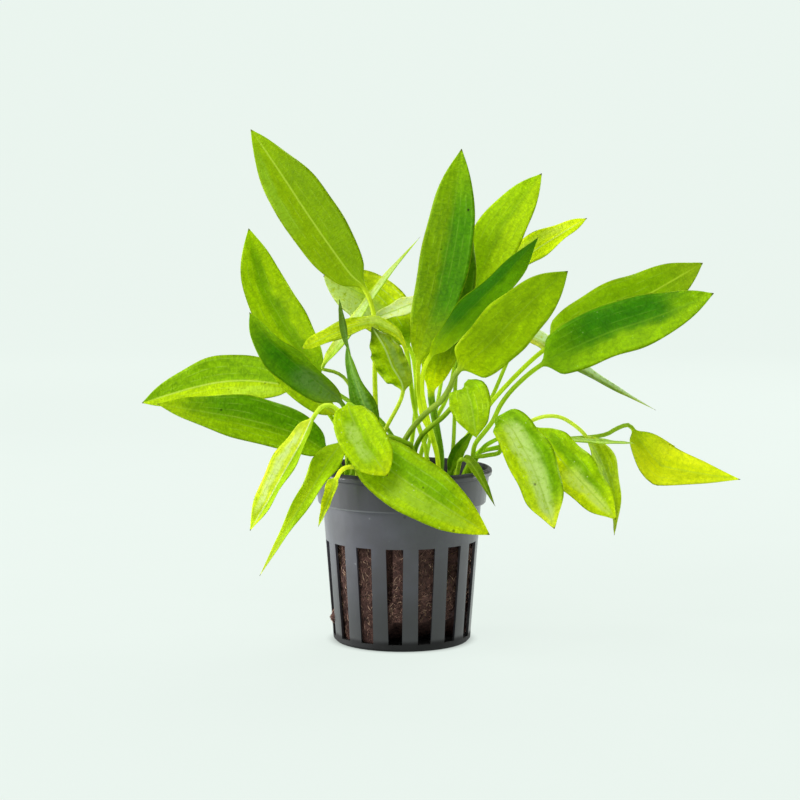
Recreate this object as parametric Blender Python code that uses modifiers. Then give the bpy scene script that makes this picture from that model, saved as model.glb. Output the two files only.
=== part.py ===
"""A potted echinodorus: three young sword plants rooted in fibrous medium in a grey slotted net pot.

The origin is at the middle of the pot's underside, +Z up, and -Y is the front. Sizes below are in
millimetres and are turned into metres where the meshes are made.
"""

import math

import bmesh
import bpy
from mathutils import Matrix, Vector

MM = 0.001
GAP = 0.3  # left between two pieces that touch

# The pot
POT_HEIGHT = 52.0
RIM_RADIUS = 27.0
COLLAR_TOP_RADIUS = 26.1
COLLAR_FOOT_RADIUS = 25.1
STEP_HEIGHT = 41.4  # where the collar steps in to the slotted wall
WALL_TOP_RADIUS = 23.7
WALL_FOOT_RADIUS = 20.6
RIM_DEPTH = 2.5  # height of the rolled edge round the mouth
RIM_ROUND = 0.8
FOOT_BEVEL = 0.8
WALL = 0.8
POT_STEPS = 45
SLOTS = 15
FIRST_SLOT = -5.5  # degrees to the right of the front
SLOT_TOP, SLOT_FOOT = 30.5, 2.0
SLOT_WIDTH_TOP, SLOT_WIDTH_FOOT = 5.1, 4.0
SLOT_CUT_INNER, SLOT_CUT_OUTER = 15.0, 30.0  # how far out from the axis the slots are cut
BASE_SLOTS = 6
BASE_SLOT_INNER, BASE_SLOT_OUTER, BASE_SLOT_WIDTH = 6.0, 14.0, 3.0
SHARP_ANGLE = 30.0

# The growing medium
MEDIUM_TOP = 42.0
MEDIUM_SIDES = 30
MEDIUM_FLAT = 12.0  # radius of the flat of its top
SHOULDER_IN, SHOULDER_DOWN = (2.4, 0.4), (0.6, 2.5)  # how its top edge rounds over into its side
SIDE_HEIGHTS = (30.0, 20.0, 11.0, 5.0)  # where its side is given, down to its foot
FOOT_HEIGHT, FOOT_IN = 2.4, 0.8
UNDERSIDE_RADII = (16.5, 10.0)
LUMPS_FROM = 12.5  # from the axis
MEDIUM_CLEAR = 0.5  # between its side and the wall, before it swells and sinks
MEDIUM_LUMP = 0.45  # how far its side swells and sinks
HOLLOW_HEIGHT = 7.0  # how much higher its foot ends where the pot isn't filled
HOLLOW_REACH = 16.0  # how far up its side that changes it
HOLLOW_MIDDLE = 31.0  # degrees to the right of the front
HOLLOW_FULL, HOLLOW_END = 38.0, 55.0  # degrees to either side of its middle
HOLLOW_INNER, HOLLOW_OUTER = 8.0, 17.0  # from the axis, where it starts and where it is full
TUFT_SLOT = -3  # the slot it has pushed out of, counted from the first
TUFT_SIZE = (1.4, 2.6, 3.6)
TUFT_OUT, TUFT_UP = 19.6, 7.4

# The crowns, short stems that carry the leaves
CROWN_HEIGHT = 2.0
CROWN_RADIUS = 6.8
CROWN_TAPER = 0.5
CROWN_SIDES = 16
CROWNS = {"left": (-13.0, -3.0), "middle": (0.0, 6.0), "right": (13.5, -2.0)}

# The leaves
EYE_DISTANCE, EYE_HEIGHT = 590.0, 123.0  # the point in front of the pot that the leaves are laid out from
BLADE_STATIONS = (0.07, 0.2, 0.38, 0.56, 0.74, 0.9, 1.0)
BLADE_THICK = 0.5
TIP_WIDTH = 0.5
SPAN_POINTS = 12  # points worked out along the midrib between two given ones

for old in list(bpy.data.objects):
    bpy.data.objects.remove(old)

plant = bpy.data.collections.new("potted_echinodorus")
tools = bpy.data.collections.new("cutters")
bpy.context.scene.collection.children.link(plant)
bpy.context.scene.collection.children.link(tools)


def material(name, colour, roughness):
    """A plain Principled material, its colour linear."""
    made = bpy.data.materials.new(name)
    made.use_nodes = True
    shader = made.node_tree.nodes["Principled BSDF"]
    shader.inputs["Base Color"].default_value = (*colour, 1.0)
    shader.inputs["Roughness"].default_value = roughness
    shader.inputs["Metallic"].default_value = 0.0
    return made


def add_object(name, mesh, made_of, collection=plant):
    """Puts a mesh in the scene as one named piece."""
    piece = bpy.data.objects.new(name, mesh)
    if made_of:
        mesh.materials.append(made_of)
    collection.objects.link(piece)
    return piece


def finished(form, name):
    """The mesh of a bmesh form drawn in millimetres, its faces out."""
    bmesh.ops.recalc_face_normals(form, faces=form.faces)
    bmesh.ops.scale(form, vec=(MM, MM, MM), verts=form.verts)
    mesh = bpy.data.meshes.new(name)
    form.to_mesh(mesh)
    form.free()
    return mesh


def turned(name, profile, steps, made_of, collection=plant):
    """A closed profile of (radius, height) turned round the pot's axis."""
    mesh = bpy.data.meshes.new(name)
    points = [(radius * MM, 0.0, height * MM) for radius, height in profile]
    closing = [(i, (i + 1) % len(points)) for i in range(len(points))]
    on_axis = [i for i, (radius, _) in enumerate(profile) if radius == 0.0]
    edges = [edge for edge in closing if not (edge[0] in on_axis and edge[1] in on_axis)]
    mesh.from_pydata(points, edges, [])
    piece = add_object(name, mesh, made_of, collection)
    screw = piece.modifiers.new("turn", "SCREW")
    screw.axis = "Z"
    screw.steps = screw.render_steps = steps
    screw.use_merge_vertices = True
    screw.merge_threshold = 0.00005
    screw.use_smooth_shade = True
    return piece


def settle(piece):
    """Replaces an object's mesh with its evaluated one and drops its modifiers."""
    graph = bpy.context.evaluated_depsgraph_get()
    mesh = bpy.data.meshes.new_from_object(piece.evaluated_get(graph))
    piece.modifiers.clear()
    piece.data = mesh
    return mesh


def boolean(piece, other, operation):
    cut = piece.modifiers.new(operation.lower(), "BOOLEAN")
    cut.operation = operation
    cut.solver = "EXACT"
    cut.object = other
    other.hide_render = True
    other.display_type = "WIRE"


# The pot: one turned shell with a rolled rim and a collar, cut by slots in its side and its base

grey_plastic = material("grey_plastic", (0.092, 0.098, 0.112), 0.42)

pot_profile = [
    (RIM_RADIUS - RIM_ROUND, POT_HEIGHT),
    (RIM_RADIUS - RIM_ROUND / 4, POT_HEIGHT - RIM_ROUND / 2),
    (RIM_RADIUS, POT_HEIGHT - RIM_DEPTH / 2),
    (RIM_RADIUS - RIM_ROUND / 4, POT_HEIGHT - RIM_DEPTH + RIM_ROUND / 2),
    (COLLAR_TOP_RADIUS, POT_HEIGHT - RIM_DEPTH),
    (COLLAR_FOOT_RADIUS, STEP_HEIGHT + GAP),
    (COLLAR_FOOT_RADIUS - GAP, STEP_HEIGHT),
    (WALL_TOP_RADIUS, STEP_HEIGHT),
    (WALL_FOOT_RADIUS, FOOT_BEVEL),
    (WALL_FOOT_RADIUS - FOOT_BEVEL, 0.0),
    (0.0, 0.0),
    (0.0, WALL),
    (WALL_FOOT_RADIUS - WALL, WALL),
    (WALL_TOP_RADIUS - WALL, STEP_HEIGHT),
    (COLLAR_FOOT_RADIUS - WALL, STEP_HEIGHT + WALL),
    (COLLAR_TOP_RADIUS - WALL, POT_HEIGHT - RIM_ROUND),
    (COLLAR_TOP_RADIUS - WALL / 2, POT_HEIGHT),
]
pot = turned("net_pot", pot_profile, POT_STEPS, grey_plastic)


def block(form, corners_low, corners_high):
    """A six-sided block between two four-cornered ends."""
    low = [form.verts.new(corner) for corner in corners_low]
    high = [form.verts.new(corner) for corner in corners_high]
    form.faces.new(low[::-1])
    form.faces.new(high)
    for i in range(4):
        j = (i + 1) % 4
        form.faces.new((low[i], low[j], high[j], high[i]))


def slot_ends(width, height, angle, inner, outer):
    """The four corners of a slot cutter's end, turned to its place round the pot."""
    turn = Matrix.Rotation(math.radians(angle), 3, "Z")
    sides = ((-width / 2, -outer), (width / 2, -outer), (width / 2, -inner), (-width / 2, -inner))
    return [turn @ Vector((x, y, height)) for x, y in sides]


slot_form = bmesh.new()
for k in range(SLOTS):
    angle = FIRST_SLOT + k * 360.0 / SLOTS
    foot = slot_ends(SLOT_WIDTH_FOOT, SLOT_FOOT, angle, SLOT_CUT_INNER, SLOT_CUT_OUTER)
    top = slot_ends(SLOT_WIDTH_TOP, SLOT_TOP, angle, SLOT_CUT_INNER, SLOT_CUT_OUTER)
    block(slot_form, foot, top)
for k in range(BASE_SLOTS):
    angle = k * 360.0 / BASE_SLOTS
    foot = slot_ends(BASE_SLOT_WIDTH, -WALL, angle, BASE_SLOT_INNER, BASE_SLOT_OUTER)
    top = slot_ends(BASE_SLOT_WIDTH, 2 * WALL, angle, BASE_SLOT_INNER, BASE_SLOT_OUTER)
    block(slot_form, foot, top)
slot_cutter = add_object("slot_cutter", finished(slot_form, "slot_cutter"), None, tools)
boolean(pot, slot_cutter, "DIFFERENCE")
settle(pot)
pot.data.shade_smooth()
pot.data.set_sharp_from_angle(angle=math.radians(SHARP_ANGLE))

# The growing medium: a plug of matted fibre, rounded at its foot and lumpy down its side

brown_fibre = material("brown_fibre", (0.105, 0.055, 0.045), 0.95)


def medium_side(height):
    """The radius of the medium's side where the tapering wall stands round it."""
    share = (height - FOOT_BEVEL) / (STEP_HEIGHT - FOOT_BEVEL)
    return WALL_FOOT_RADIUS + (WALL_TOP_RADIUS - WALL_FOOT_RADIUS) * share - WALL - MEDIUM_CLEAR


medium_profile = [
    (0.0, MEDIUM_TOP),
    (MEDIUM_FLAT, MEDIUM_TOP),
    *[
        (medium_side(MEDIUM_TOP) - inward, MEDIUM_TOP - down)
        for inward, down in zip(SHOULDER_IN, SHOULDER_DOWN)
    ],
    *[(medium_side(height), height) for height in SIDE_HEIGHTS],
    (medium_side(FOOT_HEIGHT) - FOOT_IN, FOOT_HEIGHT),
    *[(radius, WALL + GAP) for radius in UNDERSIDE_RADII],
    (0.0, WALL + GAP),
]
medium = turned("growing_medium", medium_profile, MEDIUM_SIDES, brown_fibre)
settle(medium)
hollow_edge = math.cos(math.radians(HOLLOW_END))
hollow_rise = math.cos(math.radians(HOLLOW_FULL)) - hollow_edge
for vertex in medium.data.vertices:
    x, y, z = vertex.co / MM
    radius = math.hypot(x, y)
    around = math.atan2(y, x)
    if radius > HOLLOW_INNER:
        facing = math.cos(around - math.radians(HOLLOW_MIDDLE - 90.0))
        hollow = min(max((facing - hollow_edge) / hollow_rise, 0.0), 1.0)
        outward = min((radius - HOLLOW_INNER) / (HOLLOW_OUTER - HOLLOW_INNER), 1.0)
        low = max(1.0 - (z - WALL) / HOLLOW_REACH, 0.0)
        vertex.co.z += MM * HOLLOW_HEIGHT * hollow * outward * low
    if radius > LUMPS_FROM:
        swell = math.sin(3 * around + 0.16 * z) * math.cos(2 * around - 0.1 * z + 1.0)
        scale = 1.0 + MEDIUM_LUMP * (swell - 0.6) / radius
        vertex.co.x *= scale
        vertex.co.y *= scale

# A tuft of the fibre that has pushed out of a slot low on the pot's left side
tuft_angle = math.radians(FIRST_SLOT + TUFT_SLOT * 360.0 / SLOTS)
tuft_form = bmesh.new()
bmesh.ops.create_uvsphere(tuft_form, u_segments=8, v_segments=6, radius=1.0)
bmesh.ops.scale(tuft_form, vec=TUFT_SIZE, verts=tuft_form.verts)
bmesh.ops.rotate(tuft_form, matrix=Matrix.Rotation(tuft_angle, 3, "Z"), verts=tuft_form.verts)
tuft_place = (TUFT_OUT * math.sin(tuft_angle), -TUFT_OUT * math.cos(tuft_angle), TUFT_UP)
bmesh.ops.translate(tuft_form, vec=tuft_place, verts=tuft_form.verts)
tuft = add_object("tuft", finished(tuft_form, "tuft"), None, tools)
boolean(medium, tuft, "UNION")
settle(medium)
medium.data.shade_smooth()

# The crowns: three short stems on the medium, one for each plant in the pot

crown_green = material("crown_green", (0.11, 0.17, 0.03), 0.6)
crown_foot = MEDIUM_TOP + GAP
for side, (x, y) in CROWNS.items():
    crown_form = bmesh.new()
    bmesh.ops.create_cone(
        crown_form,
        cap_ends=True,
        segments=CROWN_SIDES,
        radius1=CROWN_RADIUS,
        radius2=CROWN_RADIUS - CROWN_TAPER,
        depth=CROWN_HEIGHT,
    )
    middle_height = crown_foot + CROWN_HEIGHT / 2
    bmesh.ops.translate(crown_form, vec=(x, y, middle_height), verts=crown_form.verts)
    add_object("crown_" + side, finished(crown_form, "crown_" + side), crown_green)

# The leaves: each is one closed solid, a round stalk that widens into a thin blade folded along its
# midrib. A point is (across, up, back): its place on the upright plane through the pot's axis as the
# eye point sees it there, and how far behind that plane it lies.

leaf_green = material("leaf_green", (0.23, 0.42, 0.004), 0.38)


def placed(across, up, back):
    reach = 1.0 + back / EYE_DISTANCE
    return Vector((across * reach, back, EYE_HEIGHT + (up - EYE_HEIGHT) * reach))


def through(points):
    """A smooth line through the points, as closely spaced points."""
    ends = [points[0] * 2 - points[1], *points, points[-1] * 2 - points[-2]]
    line = []
    for before, start, end, after in zip(ends, ends[1:], ends[2:], ends[3:]):
        for k in range(SPAN_POINTS):
            t = k / SPAN_POINTS
            line.append(
                0.5
                * (
                    2 * start
                    + (end - before) * t
                    + (2 * before - 5 * start + 4 * end - after) * t * t
                    + (3 * start - before - 3 * end + after) * t * t * t
                )
            )
    return line + [points[-1]]


def at_length(line, fractions):
    """Points of a line at fractions of its length."""
    run = [0.0]
    for a, b in zip(line, line[1:]):
        run.append(run[-1] + (b - a).length)
    found = []
    for fraction in fractions:
        wanted = fraction * run[-1]
        i = max(k for k in range(len(line) - 1) if run[k] <= wanted + 1e-9)
        step = run[i + 1] - run[i]
        found.append(line[i].lerp(line[i + 1], (wanted - run[i]) / step))
    return found


def outline(u, widest, blunt, full):
    """The blade's width at u along its midrib, as a share of its greatest width."""
    if u < widest:
        return (1.0 - (1.0 - u / widest) ** 2.2) ** blunt
    return 1.0 - ((u - widest) / (1.0 - widest)) ** full


def leaf(
    name, crown, root, stalk, blade, width,
    roll=(0, 0), fold=10, thick=1.4, widest=0.45, blunt=0.8, full=2.2,
):
    """One leaf. root is its place on its crown, as (degrees, distance from the middle); roll turns
    the blade about its midrib from facing the front, at its neck and at its tip, and fold raises
    each half of it, in degrees. widest is where along the blade its width is, a smaller blunt makes
    a rounder base, and a larger full a rounder tip."""
    x, y = CROWNS[crown]
    turn, away = math.radians(root[0]), root[1]
    foot_height = crown_foot + CROWN_HEIGHT + GAP
    start = Vector((x + away * math.cos(turn), y + away * math.sin(turn), foot_height))
    stalk_points = [start] + [placed(*point) for point in stalk]
    points = stalk_points + [placed(*point) for point in blade]
    neck = (len(stalk_points) - 1) * SPAN_POINTS
    centres = at_length(through(points)[neck:], BLADE_STATIONS)
    rings = [(points[i], None) for i in range(len(stalk_points))]
    rings += [(centre, u) for centre, u in zip(centres, BLADE_STATIONS)]

    def direction(i):
        after = rings[min(i + 1, len(rings) - 1)][0]
        before = rings[max(i - 1, 0)][0]
        return (after - before).normalized()

    frames = [None] * len(rings)
    for i in range(len(rings) - 1, -1, -1):
        along = direction(i)
        u = rings[i][1]
        if i == 0:
            along = Vector((0, 0, 1)).lerp(along, 0.5).normalized()
        if u is None:
            face = frames[i + 1][1]
            face = (face - along * face.dot(along)).normalized()
            side = along.cross(face)
        else:
            face = Vector((0, -1, 0))
            face = (face - along * face.dot(along)).normalized()
            side = along.cross(face)
            turned_by = math.radians(roll[0] + (roll[1] - roll[0]) * u)
            side, face = (
                side * math.cos(turned_by) + face * math.sin(turned_by),
                face * math.cos(turned_by) - side * math.sin(turned_by),
            )
        frames[i] = (side, face)

    form = bmesh.new()
    loops = []
    rise = math.radians(fold)
    for (centre, u), (side, face) in zip(rings, frames):
        round_half = thick / 2
        ring = []
        for k in range(8):
            turned_by = math.pi - k * math.pi / 4
            ring.append((round_half * math.cos(turned_by), round_half * math.sin(turned_by)))
        if u is not None:
            half = max(width / 2 * outline(u, widest, blunt, full), TIP_WIDTH / 2)
            rib = max(thick * (1.0 - u) / 2, BLADE_THICK / 2) if u < 1.0 else BLADE_THICK / 4
            web = BLADE_THICK / 2 if u < 1.0 else BLADE_THICK / 8
            far, up = half * math.cos(rise), half * math.sin(rise)
            flat = [
                (-far, up),
                (-far / 2, up / 2 + web),
                (0.0, rib),
                (far / 2, up / 2 + web),
                (far, up),
                (far / 2, up / 2 - web),
                (0.0, -rib),
                (-far / 2, up / 2 - web),
            ]
            mix = min(u / 0.1, 1.0)
            ring = [
                (s + (flat_s - s) * mix, f + (flat_f - f) * mix)
                for (s, f), (flat_s, flat_f) in zip(ring, flat)
            ]
        loops.append([form.verts.new(centre + side * s + face * f) for s, f in ring])
    form.faces.new(loops[0])
    form.faces.new(loops[-1][::-1])
    for low, high in zip(loops, loops[1:]):
        for k in range(8):
            j = (k + 1) % 8
            form.faces.new((low[k], low[j], high[j], high[k]))
    mesh = finished(form, name)
    mesh.shade_smooth()
    add_object(name, mesh, leaf_green)


# Leaves of the left plant

leaf(
    "leaf_tall_left", "left", (15, 5.6),
    [(-7.8, 60.0, -1), (-7.8, 67.8, 0), (-8.1, 79.1, 4), (-8.1, 95.8, 10), (-10.9, 104.8, 13.5)],
    [(-16.1, 110.4, 16), (-26.3, 124.7, 21), (-35.6, 138.8, 27), (-44.6, 152.1, 33)],
    width=18.0, roll=(-15, -20), fold=8, thick=1.5, blunt=0.65,
)
leaf(
    "leaf_left_folded", "left", (180, 2.7),
    [(-13.7, 60.1, -5), (-17.6, 70.5, -8)],
    [(-24.0, 76.3, -11), (-32.0, 83.2, -15), (-39.4, 89.9, -19), (-45.3, 98.2, -22)],
    width=13.6, roll=(30, 30), fold=25, widest=0.5,
)
leaf(
    "leaf_left_yellowing", "left", (150, 5.4),
    [(-14.9, 58.0, -1), (-19.1, 66.9, 0)],
    [(-25.1, 71.1, 1.5), (-31.6, 76.5, 3), (-41.8, 86.9, 5)],
    width=8.5, roll=(-20, -20), fold=15, thick=1.2,
)
leaf(
    "leaf_far_left_upper", "left", (118, 5.4),
    [(-17.5, 60.0, 3), (-24.5, 71.4, 8), (-30.4, 75.3, 12)],
    [(-41.8, 77.4, 16), (-51.0, 77.6, 19), (-61.1, 75.9, 22), (-77.6, 71.1, 25)],
    width=16.5, roll=(-28, -25), fold=15,
)
leaf(
    "leaf_far_left_lower", "left", (-178, 5.4),
    [(-18.0, 51.0, -5), (-21.6, 55.2, -8)],
    [(-30.4, 61.2, -11), (-45.3, 65.9, -16), (-60.3, 68.6, -19), (-73.1, 70.8, -20)],
    width=14.6, roll=(-32, -28), fold=10, widest=0.4, blunt=0.7,
)
leaf(
    "leaf_hanging_pale", "left", (-95, 5.4),
    [(-13.4, 56.0, -13), (-16.0, 64.8, -18), (-19.1, 69.0, -20), (-22.7, 70.5, -22), (-26.0, 67.5, -25)],
    [(-30.6, 58.3, -27), (-35.9, 49.0, -30), (-40.6, 40.6, -32), (-45.6, 32.6, -33)],
    width=10.5, roll=(-42, -42), fold=30, thick=1.3, full=2.4,
)
leaf(
    "leaf_hanging_strap", "left", (-145, 5.6),
    [(-16.0, 55.0, -9), (-17.2, 59.3, -14)],
    [(-21.8, 53.8, -20), (-27.4, 44.4, -27), (-33.8, 34.4, -31), (-42.8, 18.9, -33)],
    width=8.8, roll=(-32, -32), fold=15, thick=1.3, widest=0.25, blunt=0.5, full=0.95,
)
leaf(
    "leaf_rolled_small", "left", (-35, 5.4),
    [(-7.8, 51.1, -13), (-10.1, 50.8, -18), (-12.8, 51.6, -22), (-15.8, 51.9, -25.5),
     (-18.0, 51.0, -27.5), (-19.4, 48.8, -28.5)],
    [(-20.6, 45.6, -28.8), (-22.4, 40.6, -28.8), (-25.1, 33.8, -28.5)],
    width=4.6, roll=(-30, -30), fold=35, thick=1.3, widest=0.16, blunt=0.45, full=1.9,
)
leaf(
    "leaf_front_short", "left", (-68, 5.4),
    [(-10.4, 54.0, -11), (-10.4, 62.0, -17), (-13.2, 68.6, -22), (-16.0, 70.6, -26)],
    [(-14.4, 65.6, -30), (-10.9, 58.6, -34), (-4.3, 49.3, -38)],
    width=13.4, roll=(8, 8), fold=12, widest=0.5, blunt=0.45, full=3.6,
)
leaf(
    "leaf_twisted", "left", (0, 2.7),
    [(-8.2, 57.6, -4), (-8.3, 61.4, -5)],
    [(-9.7, 66.6, -5.5), (-12.0, 72.9, -6), (-14.6, 80.8, -7), (-15.9, 87.0, -7.5), (-17.9, 97.0, -8),
     (-18.6, 102.0, -8)],
    width=8.8, roll=(-4, 138), fold=6, thick=1.2, widest=0.36, blunt=0.7, full=2.1,
)
leaf(
    "leaf_strip_pale", "left", (75, 5.4),
    [(-10.7, 63.1, 6), (-13.7, 72.6, 10), (-17.0, 78.4, 12), (-20.6, 80.6, 13), (-23.6, 81.2, 13.2)],
    [(-22.4, 84.0, 13.6), (-17.4, 90.6, 15), (-5.6, 107.4, 19), (5.4, 120.5, 22)],
    width=5.0, roll=(42, 58), fold=12, thick=1.1, widest=0.22, blunt=0.6, full=1.6,
)

# Leaves of the middle plant

leaf(
    "leaf_left_behind", "middle", (130, 5.4),
    [(-0.8, 56.0, 10.5), (-6.6, 66.0, 14), (-14.9, 71.1, 20), (-23.6, 77.4, 27)],
    [(-29.3, 86.3, 30), (-34.7, 94.1, 34), (-41.7, 107.2, 39), (-45.4, 123.0, 43)],
    width=16.0, roll=(-25, -20), fold=10, widest=0.5,
)
leaf(
    "leaf_front_collar", "middle", (-60, 5.4),
    [(3.0, 57.1, -7), (0.9, 59.2, -10), (-3.2, 60.8, -14), (-7.4, 60.4, -19)],
    [(-9.6, 57.6, -24), (-3.0, 50.6, -31), (10.6, 41.4, -37), (26.3, 31.4, -39)],
    width=17.0, roll=(8, 14), fold=8, thick=1.6, blunt=0.5, full=2.4,
)
leaf(
    "leaf_broad_right", "middle", (-130, 5.4),
    [(-0.6, 56.5, -1), (0.9, 60.1, -4), (3.6, 64.2, -9), (7.5, 68.4, -13), (11.6, 71.7, -15),
     (14.2, 75.6, -16), (16.9, 80.9, -17.5)],
    [(25.2, 88.0, -20.5), (33.0, 96.2, -24), (41.2, 104.1, -27), (49.2, 110.4, -29)],
    width=16.9, roll=(-18, -18), fold=8, thick=1.7, widest=0.42, blunt=0.3, full=2.7,
)
leaf(
    "leaf_front_small", "middle", (-20, 5.4),
    [(3.6, 55.0, 0), (5.7, 61.0, -8), (8.9, 64.2, -13), (12.2, 66.9, -17), (15.8, 71.0, -21),
     (19.1, 75.6, -25)],
    [(19.7, 73.8, -28), (20.9, 69.6, -31), (22.2, 60.7, -34)],
    width=12.2, roll=(-10, -10), fold=8, thick=1.5, widest=0.4, blunt=0.24, full=2.0,
)
leaf(
    "leaf_curled", "middle", (-178, 5.4),
    [(-5.7, 58.6, 1), (-5.1, 62.8, -2), (0.3, 74.4, -4)],
    [(-3.0, 82.2, -5), (-5.3, 87.8, -6), (-9.0, 93.9, -6)],
    width=10.6, roll=(10, -20), fold=-25, thick=1.2, blunt=0.62,
)
leaf(
    "leaf_broad_back", "middle", (85, 5.4),
    [(3.0, 60.1, 15), (4.2, 72.0, 20), (3.9, 80.9, 24), (2.2, 87.5, 27)],
    [(-5.4, 98.0, 31), (-11.0, 102.8, 34), (-23.3, 109.0, 39)],
    width=18.0, roll=(-25, -20), fold=8, full=2.4,
)
leaf(
    "leaf_streaked_back", "middle", (10, 5.6),
    [(8.9, 63.1, 13), (11.3, 75.0, 19), (13.1, 88.4, 25), (12.5, 98.2, 27), (9.5, 102.4, 26)],
    [(2.4, 100.3, 23), (-3.0, 98.2, 22), (-9.8, 95.8, 21)],
    width=7.0, roll=(-45, -45), fold=10, thick=1.2,
)
leaf(
    "leaf_creased_right", "middle", (45, 5.4),
    [(6.9, 60.1, 18), (13.7, 73.5, 27), (17.0, 88.4, 34), (22.6, 101.4, 38)],
    [(35.9, 113.7, 42), (43.8, 119.2, 43), (54.8, 126.0, 44)],
    width=11.0, roll=(42, 42), fold=20, thick=1.3, widest=0.55,
)

# Leaves of the right plant

leaf(
    "leaf_tall_centre", "right", (180, 2.8),
    [(10.7, 54.4, -2), (8.1, 63.1, -1), (5.7, 68.7, 0), (4.8, 81.5, 2)],
    [(7.1, 91.4, 4), (10.3, 101.8, 7), (12.9, 113.7, 10), (15.2, 127.1, 13), (17.6, 146.4, 15)],
    width=15.8, roll=(10, 18), fold=10, thick=1.5, widest=0.5, full=2.6,
)
leaf(
    "leaf_tall_behind", "right", (125, 5.4),
    [(11.6, 54.1, 3), (10.4, 63.1, 6), (8.7, 73.2, 9)],
    [(9.6, 79.5, 10), (13.7, 98.3, 13), (16.2, 110.1, 16), (19.8, 127.0, 19)],
    width=14.0, roll=(-8, -8), fold=8, thick=2.2,
)
leaf(
    "leaf_arching_yellow", "right", (165, 5.6),
    [(7.2, 56.6, 3), (4.8, 64.8, 4), (3.3, 72.0, 5), (2.3, 80.0, 5), (1.4, 86.2, 5)],
    [(-1.4, 91.4, 4.5), (-5.2, 93.7, 3.5), (-9.2, 95.0, 2), (-18.4, 92.4, 1), (-29.8, 87.4, 1)],
    width=6.2, roll=(-40, -40), fold=15, thick=1.4, widest=0.78, blunt=0.35, full=2.6,
)
leaf(
    "leaf_narrow_dark", "right", (-125, 4.0),
    [(10.6, 55.0, -7), (9.5, 60.1, -7), (7.2, 68.4, -7), (6.0, 76.5, -7), (7.8, 84.2, -7)],
    [(17.3, 96.2, -9), (24.8, 103.7, -12), (32.2, 111.3, -14), (40.3, 120.3, -16)],
    width=13.5, roll=(-45, -45), fold=12, thick=1.3,
)
leaf(
    "leaf_upright_right", "right", (95, 2.8),
    [(15.2, 57.1, 3), (15.7, 67.8, 10), (16.1, 79.4, 17), (17.9, 90.9, 22)],
    [(21.7, 104.9, 26), (25.8, 115.1, 29), (31.0, 125.2, 33), (41.3, 139.2, 38)],
    width=16.4, roll=(20, 25), fold=8, thick=1.2, widest=0.5, full=2.4,
)
leaf(
    "leaf_right_slim", "right", (80, 5.6),
    [(15.8, 55.6, 6), (21.8, 64.5, 11), (26.8, 72.9, 15), (31.4, 83.6, 19), (34.4, 89.6, 21)],
    [(39.6, 90.4, 23), (46.6, 86.0, 25), (60.8, 77.0, 28), (75.8, 68.9, 29)],
    width=7.4, roll=(38, 53), fold=10, thick=1.2, widest=0.22, blunt=0.5, full=0.95,
)
leaf(
    "leaf_right_upper", "right", (50, 3.0),
    [(17.5, 54.7, 2), (20.9, 62.2, 4), (26.5, 71.1, 7), (36.4, 81.8, 10), (43.2, 87.6, 12)],
    [(51.6, 92.6, 15), (62.0, 98.4, 19), (73.4, 103.6, 24), (89.2, 112.8, 31)],
    width=17.0, roll=(25, 20), fold=10, thick=1.4, blunt=0.36, full=2.6,
)
leaf(
    "leaf_right_lower", "right", (-12, 5.4),
    [(21.0, 54.1, -6), (21.8, 58.6, -8), (24.5, 62.2, -9), (27.1, 65.7, -9), (29.6, 70.8, -9),
     (33.9, 76.2, -9), (41.2, 82.3, -10)],
    [(52.2, 88.0, -12), (62.3, 92.3, -15), (76.8, 97.2, -19), (92.6, 103.8, -22)],
    width=17.0, roll=(28, 25), fold=10, thick=1.4, widest=0.42, blunt=0.34, full=2.5,
)
leaf(
    "leaf_drooping_inner", "right", (-38, 5.6),
    [(21.2, 53.8, -10), (25.1, 55.3, -14), (29.4, 56.6, -18), (28.9, 62.5, -23), (28.3, 66.3, -27)],
    [(31.6, 64.8, -31), (35.4, 58.6, -35), (39.4, 51.0, -37), (45.7, 33.2, -38)],
    width=15.0, roll=(25, 25), fold=12, thick=1.3, widest=0.5, blunt=0.55, full=2.4,
)
leaf(
    "leaf_drooping_middle", "right", (6, 5.8),
    [(23.3, 56.5, -5.5), (29.2, 60.7, -9), (34.6, 63.7, -11), (38.8, 64.0, -13)],
    [(44.1, 58.0, -17), (50.1, 51.1, -20), (56.9, 43.8, -23), (64.2, 36.0, -25)],
    width=14.5, roll=(28, 28), fold=12, thick=1.2, blunt=0.6, full=2.6,
)
leaf(
    "leaf_drooping_outer", "right", (32, 5.6),
    [(22.1, 55.6, 3), (32.8, 62.8, 4), (38.5, 65.7, 5), (42.7, 67.1, 6), (47.1, 66.9, 6), (51.0, 64.8, 6),
     (54.6, 61.6, 6)],
    [(58.0, 56.4, 7), (61.2, 49.0, 8), (63.5, 39.0, 8), (63.7, 31.2, 8)],
    width=11.0, roll=(48, 48), fold=15, thick=1.2, widest=0.36, full=1.3,
)
leaf(
    "leaf_level_slim", "right", (18, 3.0),
    [(21.3, 55.0, -1.5), (27.7, 57.7, -4), (42.1, 60.4, -6), (47.7, 60.4, -6)],
    [(53.1, 59.8, -6), (59.1, 59.3, -6), (69.6, 59.0, -6)],
    width=4.6, roll=(78, 78), fold=10, thick=1.1,
)
leaf(
    "leaf_far_right", "right", (57, 5.8),
    [(21.8, 55.3, 8), (30.7, 58.0, 11), (41.2, 59.8, 13), (58.8, 61.2, 14), (64.2, 63.5, 12),
     (67.0, 64.5, 10), (68.6, 63.8, 8)],
    [(71.2, 59.6, 5), (76.6, 53.2, 1.6), (79.0, 51.9, 0.7), (88.2, 50.1, -4), (101.3, 48.1, -9)],
    width=14.4, roll=(18, 18), fold=20, thick=1.3, widest=0.38, blunt=1.15, full=1.16,
)
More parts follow.
